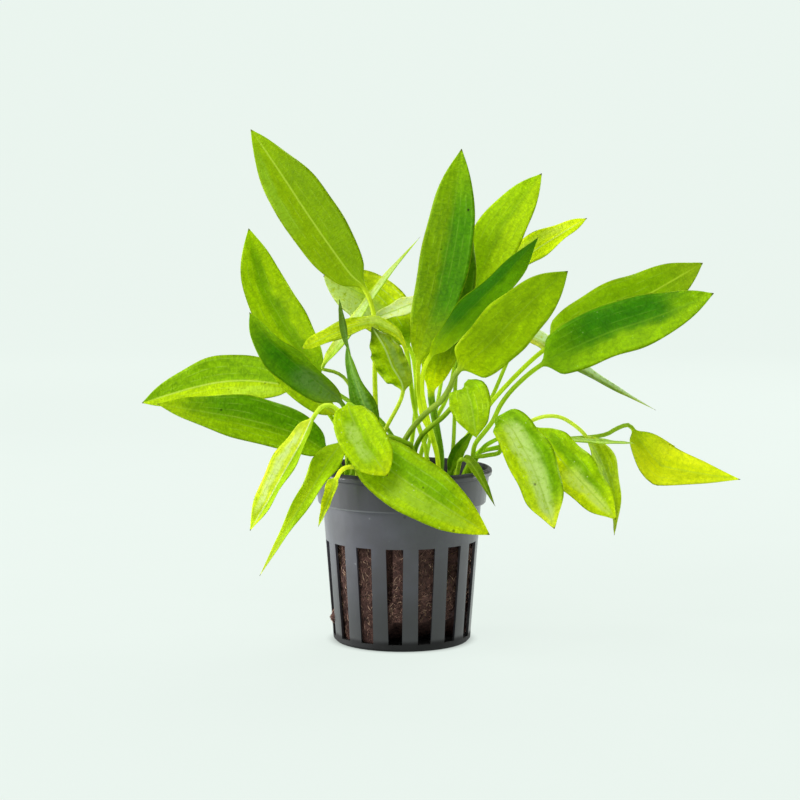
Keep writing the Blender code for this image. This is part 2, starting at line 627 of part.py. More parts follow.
leaf(
    "leaf_young_right", "right", (-80, 2.8),
    [(14.4, 50.0, -7)],
    [(16.1, 55.6, -10), (18.5, 59.2, -13), (21.2, 62.8, -15)],
    width=4.5, roll=(0, 0), fold=30, thick=1.8,
)
leaf(
    "leaf_over_rim", "right", (-68, 5.6),
    [(17.0, 52.8, -13), (18.3, 54.2, -17)],
    [(20.3, 53.2, -21), (23.5, 48.2, -24), (27.9, 40.0, -26)],
    width=3.8, roll=(30, 30), fold=30, thick=1.2, widest=0.35, blunt=0.5, full=1.5,
)
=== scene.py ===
import math
import random

import bpy
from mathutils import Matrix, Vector, noise


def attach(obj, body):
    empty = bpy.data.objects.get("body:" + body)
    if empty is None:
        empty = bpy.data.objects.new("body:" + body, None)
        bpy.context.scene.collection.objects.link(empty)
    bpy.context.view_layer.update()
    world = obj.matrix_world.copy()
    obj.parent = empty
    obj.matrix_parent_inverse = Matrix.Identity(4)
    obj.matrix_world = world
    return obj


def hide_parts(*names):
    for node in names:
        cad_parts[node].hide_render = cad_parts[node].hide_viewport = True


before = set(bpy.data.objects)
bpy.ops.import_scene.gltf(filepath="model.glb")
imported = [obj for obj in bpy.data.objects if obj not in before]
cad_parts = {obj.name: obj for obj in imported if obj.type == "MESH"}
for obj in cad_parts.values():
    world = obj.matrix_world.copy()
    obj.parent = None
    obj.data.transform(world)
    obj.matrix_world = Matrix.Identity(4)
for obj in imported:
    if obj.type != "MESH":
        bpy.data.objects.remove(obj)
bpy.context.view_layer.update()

# The stage: a pale sweep of paper that runs under the plant and up behind it. It glows, as paper lit from
# behind does, and gives back little of the lamps' light, so only a faint shadow shows at the pot's foot.
# Under and just round the pot's foot it doesn't glow, which paints a shadow there.

SWEEP_COLOUR, SWEEP_FLECK = (232, 242, 236), (235, 244, 239)
SWEEP_WIDTH, SWEEP_NEAR, SWEEP_FAR, SWEEP_BEND, SWEEP_HEIGHT = 12.0, -6.0, 1.4, 0.6, 3.0
SWEEP_PAINT = 0.07  # how much of the light that falls on it the paper gives back
GLOW_NEAR, GLOW_FAR = 0.905, 0.976  # the far end is out of the lamps' light, so it glows more
NEAR_END, FAR_START = 0.60, 1.30  # from the pot's axis, in metres
SHADOW_INNER, SHADOW_OUTER = 0.0155, 0.0235  # from the pot's axis: no glow under and just round the pot, a painted shadow
BEND_STEPS = 24


class Tone:
    """A value or colour that runs through a material. Sums and products of tones add their own nodes."""

    def __init__(self, tree, socket=None):
        self.tree = tree
        self.socket = socket

    def node(self, kind, settings, values, output=0):
        """Adds a node, its settings first and then the values or tones of its sockets."""
        made = self.tree.nodes.new("ShaderNode" + kind)
        for name, value in settings.items():
            if name == "stops":
                for i, (place, colour) in enumerate(value):
                    stops = made.color_ramp.elements
                    stop = stops[i] if i < 2 else stops.new(place)
                    stop.position, stop.color = place, colour
            else:
                setattr(made, name, value)
        self.fill(made, values)
        return Tone(self.tree, made.outputs[output])

    def fill(self, made, values):
        for name, value in values.items():
            if isinstance(value, Tone):
                self.tree.links.new(value.socket, made.inputs[name])
            else:
                made.inputs[name].default_value = value

    def sum(self, operation, first, second=0.0):
        return self.node("Math", {"operation": operation}, {0: first, 1: second})

    def vector(self, operation, other=None, output=0):
        """A vector operation on this, with another vector where it takes one."""
        values = {0: self} if other is None else {0: self, 1: other}
        return self.node("VectorMath", {"operation": operation}, values, output)

    def __add__(self, other):
        return self.sum("ADD", self, other)

    def __sub__(self, other):
        return self.sum("SUBTRACT", self, other)

    def __rsub__(self, other):
        return self.sum("SUBTRACT", other, self)

    def __mul__(self, other):
        return self.sum("MULTIPLY", self, other)

    def __pow__(self, other):
        return self.sum("POWER", self, other)

    def __abs__(self):
        return self.sum("ABSOLUTE", self)

    __radd__ = __add__
    __rmul__ = __mul__

    def between(self, low, high):
        """0 at low and 1 at high, with a smooth change between them."""
        return self.node("MapRange", {"interpolation_type": "SMOOTHSTEP"}, {0: self, 1: low, 2: high})

    def blend(self, first, second):
        """The first colour where this is 0 and the second where it is 1."""
        return self.node("Mix", {"data_type": "RGBA"}, {0: self, 6: first, 7: second}, 2)

    def painted(self, mask, colour):
        """This colour, gone over with another one where the mask is 1."""
        return mask.blend(self, shade(colour))

    def scaled(self, factor):
        """This colour made lighter or darker, or this vector longer or shorter, by a factor."""
        return self.node("VectorMath", {"operation": "SCALE"}, {0: self, 3: factor})

    def place(self):
        """Where a point of the piece lies, in metres."""
        return self.node("TexCoord", {}, {}, 3)

    def part(self, index):
        """One number of this vector."""
        return self.node("SeparateXYZ", {}, {0: self}, index)

    def stored(self, name, output=2):
        """What is kept on the points of the mesh under a name: a number, or with output 1 a vector."""
        return self.node("Attribute", {"attribute_name": name}, {}, output)

    def cloud(self, where, scale, detail=2.0):
        """Soft noise from 0 to 1."""
        return self.node("TexNoise", {}, {"Vector": where, "Scale": scale, "Detail": detail})

    def cells(self, where, scale, feature="F1"):
        """How far a point is from the middle of a cell, or from its edge."""
        return self.node("TexVoronoi", {"feature": feature}, {"Vector": where, "Scale": scale})

    def bump(self, strength, distance, height, **more):
        """The surface's direction where a height roughens it."""
        values = {"Strength": strength, "Distance": distance, "Height": height, **more}
        return self.node("Bump", {}, values)


def shade(colour):
    """A colour given as it shows on a screen, 0 to 255, made linear."""
    parts = [part / 255.0 for part in colour]
    return (*(part / 12.92 if part <= 0.04045 else ((part + 0.055) / 1.055) ** 2.4 for part in parts), 1.0)


def finish(name):
    """A new material, its main shader, and a tone to draw its nodes with."""
    made = bpy.data.materials.new(name)
    made.use_nodes = True
    return made, made.node_tree.nodes["Principled BSDF"], Tone(made.node_tree)


def piece_of(name, corners, faces, material):
    """A smooth mesh object from its corners and faces, in metres."""
    mesh = bpy.data.meshes.new(name)
    mesh.from_pydata(corners, [], faces)
    mesh.validate()
    mesh.shade_smooth()
    mesh.materials.append(material)
    made = bpy.data.objects.new(name, mesh)
    bpy.context.scene.collection.objects.link(made)
    return made


paper, shader, tone = finish("sweep_paper")
fibre = tone.cloud(tone.place(), 30.0).between(0.2, 0.8)
paper_colour = shade(SWEEP_COLOUR)
from_axis = tone.place().vector("LENGTH", output=1)
bright = from_axis.between(SHADOW_INNER, SHADOW_OUTER) * GLOW_NEAR
bright = bright + from_axis.between(NEAR_END, FAR_START) * (GLOW_FAR - GLOW_NEAR)
tone.fill(shader, {
    "Base Color": fibre.blend(paper_colour, shade(SWEEP_FLECK)).scaled(SWEEP_PAINT),
    "Roughness": 1.0,
    "Specular IOR Level": 0.0,
    "Emission Color": bright.blend((0.0, 0.0, 0.0, 1.0), paper_colour),
    "Emission Strength": 1.0,
})
profile = [(SWEEP_NEAR, 0.0), (SWEEP_FAR, 0.0)]
for i in range(1, BEND_STEPS + 1):
    turn = math.pi / 2 * i / BEND_STEPS
    profile.append((SWEEP_FAR + SWEEP_BEND * math.sin(turn), SWEEP_BEND * (1.0 - math.cos(turn))))
profile.append((SWEEP_FAR + SWEEP_BEND, SWEEP_HEIGHT))
corners = [(x, y, z) for y, z in profile for x in (-SWEEP_WIDTH / 2, SWEEP_WIDTH / 2)]
faces = [(2 * i, 2 * i + 1, 2 * i + 3, 2 * i + 2) for i in range(len(profile) - 1)]
sweep = piece_of("paper_sweep", corners, faces, paper)

# The camera stands in front, a little below the plant's top, and looks slightly down. The room is bright
# all round, with large soft lights above at the left and behind, and smaller ones at both sides.

EYE = Vector((0.0, -0.590, 0.123))
AIM = Vector((0.0, 0.0, 0.072))
LENS, SENSOR = 89.33, 36.0
SHIFT_X = -0.0025
ROOM_COLOUR = (240, 246, 243)
ROOM_STRENGTH = 0.50
LIGHTS = {  # where each is, in metres, its size and its power
    "light_above_left": ((-0.40, -0.65, 0.85), 0.50, 8.5),
    "light_behind": ((0.30, 0.75, 0.75), 0.60, 9.0),
    "light_left": ((-0.88, 0.16, 0.22), 0.45, 11.5),
    "light_right": ((0.85, 0.42, 0.25), 0.35, 5.0),
}


def aimed(name, data, spot):
    """An object at a spot, turned to look at the plant."""
    made = bpy.data.objects.new(name, data)
    bpy.context.scene.collection.objects.link(made)
    made.location = spot
    made.rotation_euler = (AIM - Vector(spot)).to_track_quat("-Z", "Y").to_euler()
    return made


camera = aimed("camera", bpy.data.cameras.new("camera"), EYE)
camera.data.lens = LENS
camera.data.sensor_width = SENSOR
camera.data.shift_x = SHIFT_X
camera.data.clip_start = 0.01
bpy.context.scene.camera = camera

room = bpy.data.worlds.new("room")
bpy.context.scene.world = room
room.use_nodes = True
glow = room.node_tree.nodes["Background"]
glow.inputs["Color"].default_value = shade(ROOM_COLOUR)
glow.inputs["Strength"].default_value = ROOM_STRENGTH
bpy.context.scene.view_settings.view_transform = "Standard"

for name, (spot, size, power) in LIGHTS.items():
    lamp = aimed(name, bpy.data.lights.new(name, "AREA"), spot)
    lamp.data.energy, lamp.data.size = power, size

# The net pot: one thin moulding of recycled grey polypropylene, with a collar over a slotted wall. It is
# the frame's own solid, finished in satin plastic with dust, blotchy marks and a few dark grains, with
# painted shade low down, at its foot, on its lip and inside, and painted light on its upper wall.

MM = 0.001
STEP_HEIGHT = 41.4  # where the collar steps in to the slotted wall, in millimetres
POT_COLOUR = (62, 60, 67)
# The pale tone is used for random marks and also as painted light on the upper wall
POT_PALE_AND_LIT = (74, 73, 84)
COLLAR_COLOUR = (31, 29, 35)
DUST_COLOUR = (128, 130, 134)
GRAIN_COLOUR = (30, 30, 33)
WALL_SLOPE = 0.076  # how far the wall leans in going down
ON_WALL = 0.985  # how nearly a face of the wall looks straight out or in
LOW_SHADE_COLOUR, FOOT_SHADE_COLOUR = (21, 21, 23), (8, 8, 9)  # painted shade: darker towards the bottom, and darkest at the foot
LIP_SHADE_COLOUR, INNER_SHADE_COLOUR = (26, 25, 29), (26, 25, 30)  # painted shade on the lip of the mouth and inside the pot

grey_plastic, shader, tone = finish("satin_grey_plastic")
where = tone.place()
height = where.part(2)
marks = tone.cloud(where, 90.0, 4.0)
bloom = tone.cloud(where, 420.0, 3.0)
colour = marks.between(0.35, 0.75).blend(shade(POT_COLOUR), shade(POT_PALE_AND_LIT))
# Painted light: the upper wall is paler, lit from above
colour = colour.painted(height.between(0.030, 0.044) * 0.5, POT_PALE_AND_LIT)
dust = (1.0 - tone.cells(where, 260.0).between(0.05, 0.12)) * marks.between(0.45, 0.6)
colour = colour.painted(dust * 0.6, DUST_COLOUR)
grains = (1.0 - tone.cells(where, 150.0).between(0.04, 0.085)) * marks.between(0.62, 0.52)
colour = colour.painted(grains * 0.8, GRAIN_COLOUR)
# Painted shade: darker towards the bottom, away from the light above
colour = colour.painted(height.between(0.034, 0.006) * 0.88, LOW_SHADE_COLOUR)
collar = height.between((STEP_HEIGHT - 0.2) * MM, (STEP_HEIGHT + 0.3) * MM)
colour = colour.painted(collar * 0.7, COLLAR_COLOUR)
# Painted shadow where the foot meets the floor
foot = height.between(0.0040, 0.0020)
colour = colour.painted(foot * 0.95, FOOT_SHADE_COLOUR)
# Painted shade on the lip
lip = height.between(0.0504, 0.0514)
colour = colour.painted(lip * 0.9, LIP_SHADE_COLOUR)
step_line = 1.0 - abs(height - (STEP_HEIGHT + 0.15) * MM).between(0.00005, 0.0004)
colour = colour.painted(step_line * marks.between(0.3, 0.7) * 0.5, DUST_COLOUR)
# The wall is round: a face that looks straight out of it or into it is lit as part of a smooth cone
facing = tone.node("NewGeometry", {}, {}, 1)
outward = where.vector("MULTIPLY", (1.0, 1.0, 0.0)).vector("NORMALIZE")
outward = outward.vector("ADD", (0.0, 0.0, -WALL_SLOPE)).vector("NORMALIZE")
agree = facing.vector("DOT_PRODUCT", outward, 1)
side = tone.sum("SIGN", agree)
on_wall = tone.sum("GREATER_THAN", abs(agree), ON_WALL)
smooth_normal = on_wall.blend(facing, outward.scaled(side))
# Painted shade inside the pot
inner = on_wall * (0.5 - side * 0.5)
colour = colour.painted(inner * 0.9, INNER_SHADE_COLOUR)
dull = (foot + lip + inner).between(0.0, 1.0)
tone.fill(shader, {
    "Base Color": colour,
    "Roughness": 0.30 + bloom * 0.22 + dull * 0.45,
    "Coat Weight": 0.5 - dull * 0.5,
    "Coat Roughness": 0.22,
    "Normal": tone.bump(0.25, 0.0002, bloom * 0.4 + dust, Normal=smooth_normal),
})
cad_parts["net_pot"].material_slots[0].material = grey_plastic

# The growing medium: a plug of matted mineral and peat fibre. Its core is a lumpy solid that sinks in
# where the plug is loose, and the fibres that lie on it where it shows are thin tapered strands.

WALL = 0.8
WALL_TOP_RADIUS, WALL_FOOT_RADIUS = 23.7, 20.6
MEDIUM_TOP, MEDIUM_FOOT = 42.0, 1.1
MEDIUM_CLEAR, MEDIUM_LUMP = 0.5, 0.45
TOP_LUMP, TOP_GRAIN = 0.7, 0.3  # how high the lumps of its top are, and how close together
HOLLOW_HEIGHT, HOLLOW_REACH = 7.0, 16.0  # how far its foot is raised, and how far up that is seen
HOLLOW_MIDDLE, HOLLOW_FULL, HOLLOW_END = 31.0, 38.0, 55.0  # degrees, from the front and from its middle
HOLLOW_INNER, HOLLOW_OUTER = 8.0, 17.0
SLOTS, FIRST_SLOT = 15, -5.5
TUFT_SLOT, TUFT_UP, TUFT_OUT = -3, 7.4, 3.0  # the slot that fibre has pushed out of, and how far
TUFT_HALF_WIDTH, TUFT_HALF_HEIGHT = 1.5, 2.6
# Where the side sinks in: degrees to the right of the front, half its angle, its heights, how deep
SUNK = ((-11, 3.5, 12, 34, 2.2), (43, 8, 20, 34, 2.4), (-78, 9, 11, 34, 3.2))
CORE_SIDES, CORE_ROWS = 200, 84
UNDERSIDE_END, TOP_START = 0.1, 0.86  # shares of the core's rows
SHOULDER = 0.5  # how much lower than its top the plug's side ends
ROUND_LOW, ROUND_HIGH = 3.0, 38.5  # its side is rounded off below and above these heights
TOP_EDGE = 2.3  # how far in from its side its top starts
STRANDS_A_SLOT, STRANDS_ON_TOP, STRAND_STEPS = 330, 420, 4
SLOT_HALF, STRAND_LOW, STRAND_HIGH = 8.5, 1.6, 31.5  # where strands start: degrees, then heights
STRAND_FLOOR, STRAND_CEILING = 1.3, 33.0  # they stay between these heights
TOP_STRAND_REACH, TOP_REACH = 20.0, 20.6
FIBRE_COLOURS = ((34, 22, 22), (92, 66, 60), (142, 106, 94), (205, 172, 146))

brown_fibre, shader, tone = finish("matted_brown_fibre")
matting = tone.cloud(tone.place(), 900.0, 5.0)
patches = tone.cloud(tone.place(), 130.0, 2.0)
stops = [(share, shade(colour)) for share, colour in zip((0.0, 0.5, 0.8, 1.0), FIBRE_COLOURS)]
strength = (matting - 0.5) * 0.9 + 0.30 + (patches - 0.5) * 0.5
tone.fill(shader, {
    "Base Color": tone.node("ValToRGB", {"stops": stops}, {0: strength}),
    "Roughness": 0.95,
    "Specular IOR Level": 0.2,
    "Normal": tone.bump(0.9, 0.0006, matting),
})


def around(degrees):
    """The angle from +X of a direction so many degrees to the right of the front."""
    return math.radians(degrees - 90.0)


def swing(first, second):
    """How far apart two angles are, from -pi to pi."""
    return (first - second + math.pi) % (2 * math.pi) - math.pi


def polar(angle, radius, height=0.0):
    """A point at an angle and a distance from an upright axis."""
    return Vector((radius * math.cos(angle), radius * math.sin(angle), height))


def side_radius(angle, height):
    """How far the plug's side is from the axis, with its lumps, its sunk places and its tuft."""
    share = (height - WALL) / (STEP_HEIGHT - WALL)
    radius = WALL_FOOT_RADIUS + (WALL_TOP_RADIUS - WALL_FOOT_RADIUS) * share - WALL - MEDIUM_CLEAR
    swell = math.sin(3 * angle + 0.16 * height) * math.cos(2 * angle - 0.1 * height + 1.0)
    radius += MEDIUM_LUMP * (swell - 0.6)
    spot = polar(angle, radius, height)
    radius += 0.6 * noise.noise(spot * 0.24) + 0.45 * noise.noise(spot * 0.8) - 0.2
    for middle, half, low, high, depth in SUNK:
        near = 1.0 - (swing(angle, around(middle)) / math.radians(half)) ** 2
        level = min(height - low, high - height) / 3.0
        radius -= depth * min(max(near, 0.0) * 2.0, 1.0) * min(max(level, 0.0), 1.0)
    tuft_angle = around(FIRST_SLOT + TUFT_SLOT * 360.0 / SLOTS)
    beside = swing(angle, tuft_angle) * radius / TUFT_HALF_WIDTH
    above = (height - TUFT_UP) / TUFT_HALF_HEIGHT
    return radius + TUFT_OUT * math.exp(-(beside**2) - above**2)


def top_level(spot):
    """The height of the plug's lumpy top above or below its even level."""
    return TOP_LUMP * noise.noise(spot * TOP_GRAIN)


def medium_spot(angle, radius, height):
    """A point of the plug, raised at its foot where the pot isn't filled."""
    edge = math.cos(math.radians(HOLLOW_END))
    facing = math.cos(swing(angle, around(HOLLOW_MIDDLE)))
    hollow = min(max((facing - edge) / (math.cos(math.radians(HOLLOW_FULL)) - edge), 0.0), 1.0)
    outward = min(max((radius - HOLLOW_INNER) / (HOLLOW_OUTER - HOLLOW_INNER), 0.0), 1.0)
    low = max(1.0 - (height - WALL) / HOLLOW_REACH, 0.0)
    height += HOLLOW_HEIGHT * hollow * outward * low
    return polar(angle, radius, height) * MM


def closed_rings(rings, sides):
    """The faces of a round body made of rings of corners from its foot up, closed at both its ends."""
    faces = []
    for i in range(rings - 1):
        for k in range(sides):
            j = (k + 1) % sides
            row = i * sides
            faces.append((row + k, row + j, row + sides + j, row + sides + k))
    faces.append(tuple(range(sides))[::-1])
    faces.append(tuple((rings - 1) * sides + k for k in range(sides)))
    return faces


corners = []
side_end = MEDIUM_TOP - SHOULDER
for i in range(CORE_ROWS):
    share = i / (CORE_ROWS - 1)
    for k in range(CORE_SIDES):
        angle = 2 * math.pi * k / CORE_SIDES
        if share < UNDERSIDE_END:
            height, radius = MEDIUM_FOOT, (0.02 + 9.4 * share) * side_radius(angle, 2.0)
        elif share < TOP_START:
            run = (share - UNDERSIDE_END) / (TOP_START - UNDERSIDE_END)
            height = MEDIUM_FOOT + (side_end - MEDIUM_FOOT) * run
            rounded = max(ROUND_LOW - height, 0.0) ** 2 * 0.12 + max(height - ROUND_HIGH, 0.0) ** 2 * 0.25
            radius = side_radius(angle, height) - rounded
        else:
            run = (share - TOP_START) / (1.0 - TOP_START)
            radius = (side_radius(angle, side_end) - TOP_EDGE) * (1.0 - 0.98 * run)
            height = MEDIUM_TOP - 0.4 + top_level(polar(angle, radius)) * min(run * 8.0, 1.0)
        corners.append(medium_spot(angle, radius, height))
core = piece_of("medium_core", corners, closed_rings(CORE_ROWS, CORE_SIDES), brown_fibre)
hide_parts("growing_medium")
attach(core, "root")

loose_fibre, shader, tone = finish("loose_brown_fibre")
stops = [(i / 3, shade(colour)) for i, colour in enumerate(FIBRE_COLOURS)]
tone.fill(shader, {
    "Base Color": tone.node("ValToRGB", {"stops": stops}, {0: tone.stored("pale")}),
    "Roughness": 0.8 - 0.2 * tone.cloud(tone.place(), 2500.0),
    "Specular IOR Level": 0.3,
})
rng = random.Random(7)
corners, faces, paleness = [], [], []


def strand(spots, radius, tint):
    """A thin three-sided strand through (place, outward) points, finer at both its ends."""
    first = len(corners)
    last = len(spots) - 1
    for i, (spot, out) in enumerate(spots):
        along = (spots[min(i + 1, last)][0] - spots[max(i - 1, 0)][0]).normalized()
        side = along.cross(out).normalized()
        up = side.cross(along)
        half = radius * (1.0 - 0.75 * abs(2.0 * i / last - 1.0) ** 3)
        for k in range(3):
            turn = 2 * math.pi * k / 3
            corners.append(spot + (side * math.cos(turn) + up * math.sin(turn)) * half)
            paleness.append(tint)
    for face in closed_rings(len(spots), 3):
        faces.append(tuple(first + corner for corner in face))


for slot in range(SLOTS):
    middle = FIRST_SLOT + slot * 360.0 / SLOTS
    for _ in range(STRANDS_A_SLOT):
        angle = around(middle + rng.uniform(-SLOT_HALF, SLOT_HALF))
        height = rng.uniform(STRAND_LOW, STRAND_HIGH)
        heading = rng.gauss(math.pi / 2, 0.75)
        bend = rng.gauss(0.0, 0.22)
        step = rng.uniform(0.22, 0.62)
        lift = rng.uniform(0.02, 0.30) + (0.35 if rng.random() < 0.06 else 0.0)
        spots = []
        for i in range(STRAND_STEPS + 1):
            arch = lift * math.sin(math.pi * (i + 0.5) / (STRAND_STEPS + 1))
            radius = side_radius(angle, height) + arch
            spots.append((medium_spot(angle, radius, height), polar(angle, 1.0)))
            angle += step * math.cos(heading) / radius
            height = min(max(height + step * math.sin(heading), STRAND_FLOOR), STRAND_CEILING)
            heading += bend
        strand(spots, rng.uniform(0.03, 0.09) * MM, min(max(rng.gauss(0.47, 0.27), 0.0), 1.0))
for _ in range(STRANDS_ON_TOP):
    angle = rng.uniform(-math.pi, math.pi)
    distance = TOP_STRAND_REACH * math.sqrt(rng.random())
    heading = rng.uniform(-math.pi, math.pi)
    bend = rng.gauss(0.0, 0.25)
    step = rng.uniform(0.4, 1.0)
    spot = polar(angle, distance)
    spots = []
    for i in range(STRAND_STEPS + 1):
        level = MEDIUM_TOP - 0.3 + top_level(spot) + 0.5 * math.sin(math.pi * i / STRAND_STEPS)
        spots.append((Vector((spot.x, spot.y, level)) * MM, Vector((0.0, 0.0, 1.0))))
        spot += polar(heading, 1.0) * step
        if spot.length > TOP_REACH:
            spot *= TOP_REACH / spot.length
        heading += bend
    strand(spots, rng.uniform(0.04, 0.09) * MM, min(max(rng.gauss(0.4, 0.2), 0.0), 1.0))
fibres = piece_of("medium_fibres", corners, faces, loose_fibre)
fibres.data.attributes.new("pale", "FLOAT", "POINT").data.foreach_set("value", paleness)
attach(fibres, "root")

# The crowns: the short swollen stems of the three plants, sunk a little in the medium, each ribbed by
# the feet of its stalks. They are soft pale green tissue, darker and brown towards the fibre.

GAP = 0.3
CROWN_HEIGHT, CROWN_RADIUS = 2.0, 6.8
CROWNS = {"left": (-13.0, -3.0), "middle": (0.0, 6.0), "right": (13.5, -2.0)}
CROWN_FOOT = MEDIUM_TOP + GAP
CROWN_SIDES, CROWN_RINGS = 54, 14
CROWN_GREEN, CROWN_BROWN, CROWN_VEIN = (118, 152, 42), (62, 58, 30), (140, 160, 84)

crown_tissue, shader, tone = finish("crown_tissue")
veined = tone.cloud(tone.place(), 500.0, 4.0)
colour = tone.place().part(2).between(0.0422, 0.0446).blend(shade(CROWN_BROWN), shade(CROWN_GREEN))
tone.fill(shader, {
    "Base Color": colour.painted(veined.between(0.45, 0.7), CROWN_VEIN),
    "Roughness": 0.45 + veined * 0.3,
    "Normal": tone.bump(0.5, 0.0003, veined),
})
for side, (x, y) in CROWNS.items():
    corners = []
    for i in range(CROWN_RINGS):
        share = i / (CROWN_RINGS - 1)
        for k in range(CROWN_SIDES):
            angle = 2 * math.pi * k / CROWN_SIDES
            rib = 1.0 + 0.05 * math.cos(9 * angle) + 0.02 * math.cos(4 * angle + x)
            radius = CROWN_RADIUS * 0.97 * rib * math.sqrt(1.0 - share**2 * 0.9999)
            level = CROWN_FOOT - GAP + (CROWN_HEIGHT + 3 * GAP) * min(1.0, 1.5 * share)
            level += 0.16 * math.cos(9 * angle) * share * (1.0 - share) * 4
            corners.append((Vector((x, y, 0.0)) + polar(angle, radius, level)) * MM)
    stem = piece_of("stem_" + side, corners, closed_rings(CROWN_RINGS, CROWN_SIDES), crown_tissue)
    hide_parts("crown_" + side)
    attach(stem, "root")

# The leaves of the left plant. A leaf is one thin sheet of soft, half see-through tissue on a round
# stalk: veins run from its neck to its tip with fine cross veins between them, its midrib stands out
# below, and its edge is wavy, with a painted highlight along it.

EYE_DISTANCE, EYE_HEIGHT = 590.0, 123.0  # the point in front of the pot that they are laid out from
SPAN_POINTS = 12  # worked out along the midrib between two given ones
STALK_STEPS = 5  # rings of corners between two given points of the stalk
BLADE_STEPS = 46
SECTION = 16  # steps across the blade, from edge to edge
NECK_SHARE = 0.1  # of the blade's length: the round stalk goes over into it there
BLADE_THICK = 0.3
TIP_HALF, RIB_HALF = 0.07, 0.45
UNEVEN_SLOW, UNEVEN_FAST = 0.022, 0.012  # how uneven its outline is, in shares of its width
VEIN_COUNT = 3.5  # on each side of the midrib
# The edge's colour is a painted highlight, where light comes round the blade
EDGE_HIGHLIGHT_COLOUR, UNDER_COLOUR = (200, 226, 40), (172, 202, 90)
# The colour of the dots, second here, is a painted glint on drops of water
SPECK_COLOUR, GLINT_COLOUR, TIP_COLOUR = (46, 60, 8), (222, 240, 150), (98, 104, 22)
THROUGH = 0.42  # the share of the light that goes through
DEEP = (0.96, 0.82, 0.18)  # of each colour, where the tissue is thickest
PALE = (1.98, 1.44, 0.28)  # where it is thinnest
STALK_GAIN = (1.5, 1.25, 0.7)


def placed(across, up, back):
    """A point given where the eye sees it on the upright plane through the pot's axis, and its depth."""
    reach = 1.0 + back / EYE_DISTANCE
    return Vector((across * reach, back, EYE_HEIGHT + (up - EYE_HEIGHT) * reach))


def through(points):
    """A smooth line through the points, as closely spaced points."""
    ends = [points[0] * 2 - points[1], *points, points[-1] * 2 - points[-2]]
    line = []
    for before, start, end, after in zip(ends, ends[1:], ends[2:], ends[3:]):
        for k in range(SPAN_POINTS):
            t = k / SPAN_POINTS
            square = 2 * before - 5 * start + 4 * end - after
            cube = 3 * start - before - 3 * end + after
            line.append((2 * start + (end - before) * t + square * t * t + cube * t * t * t) * 0.5)
    return line + [points[-1]]


def at_length(line, fractions):
    """Points of a line at fractions of its length, and the length."""
    run = [0.0]
    for a, b in zip(line, line[1:]):
        run.append(run[-1] + (b - a).length)
    found = []
    i = 0
    for fraction in fractions:
        wanted = fraction * run[-1]
        while i < len(line) - 2 and run[i + 1] < wanted:
            i += 1
        step = run[i + 1] - run[i]
        found.append(line[i].lerp(line[i + 1], min((wanted - run[i]) / step, 1.0)))
    return found, run[-1]


def outline(u, widest, blunt, full):
    """The blade's width at u along its midrib, as a share of its greatest width."""
    if u < widest:
        return (1.0 - (1.0 - u / widest) ** 2.2) ** blunt
    return 1.0 - ((u - widest) / (1.0 - widest)) ** full


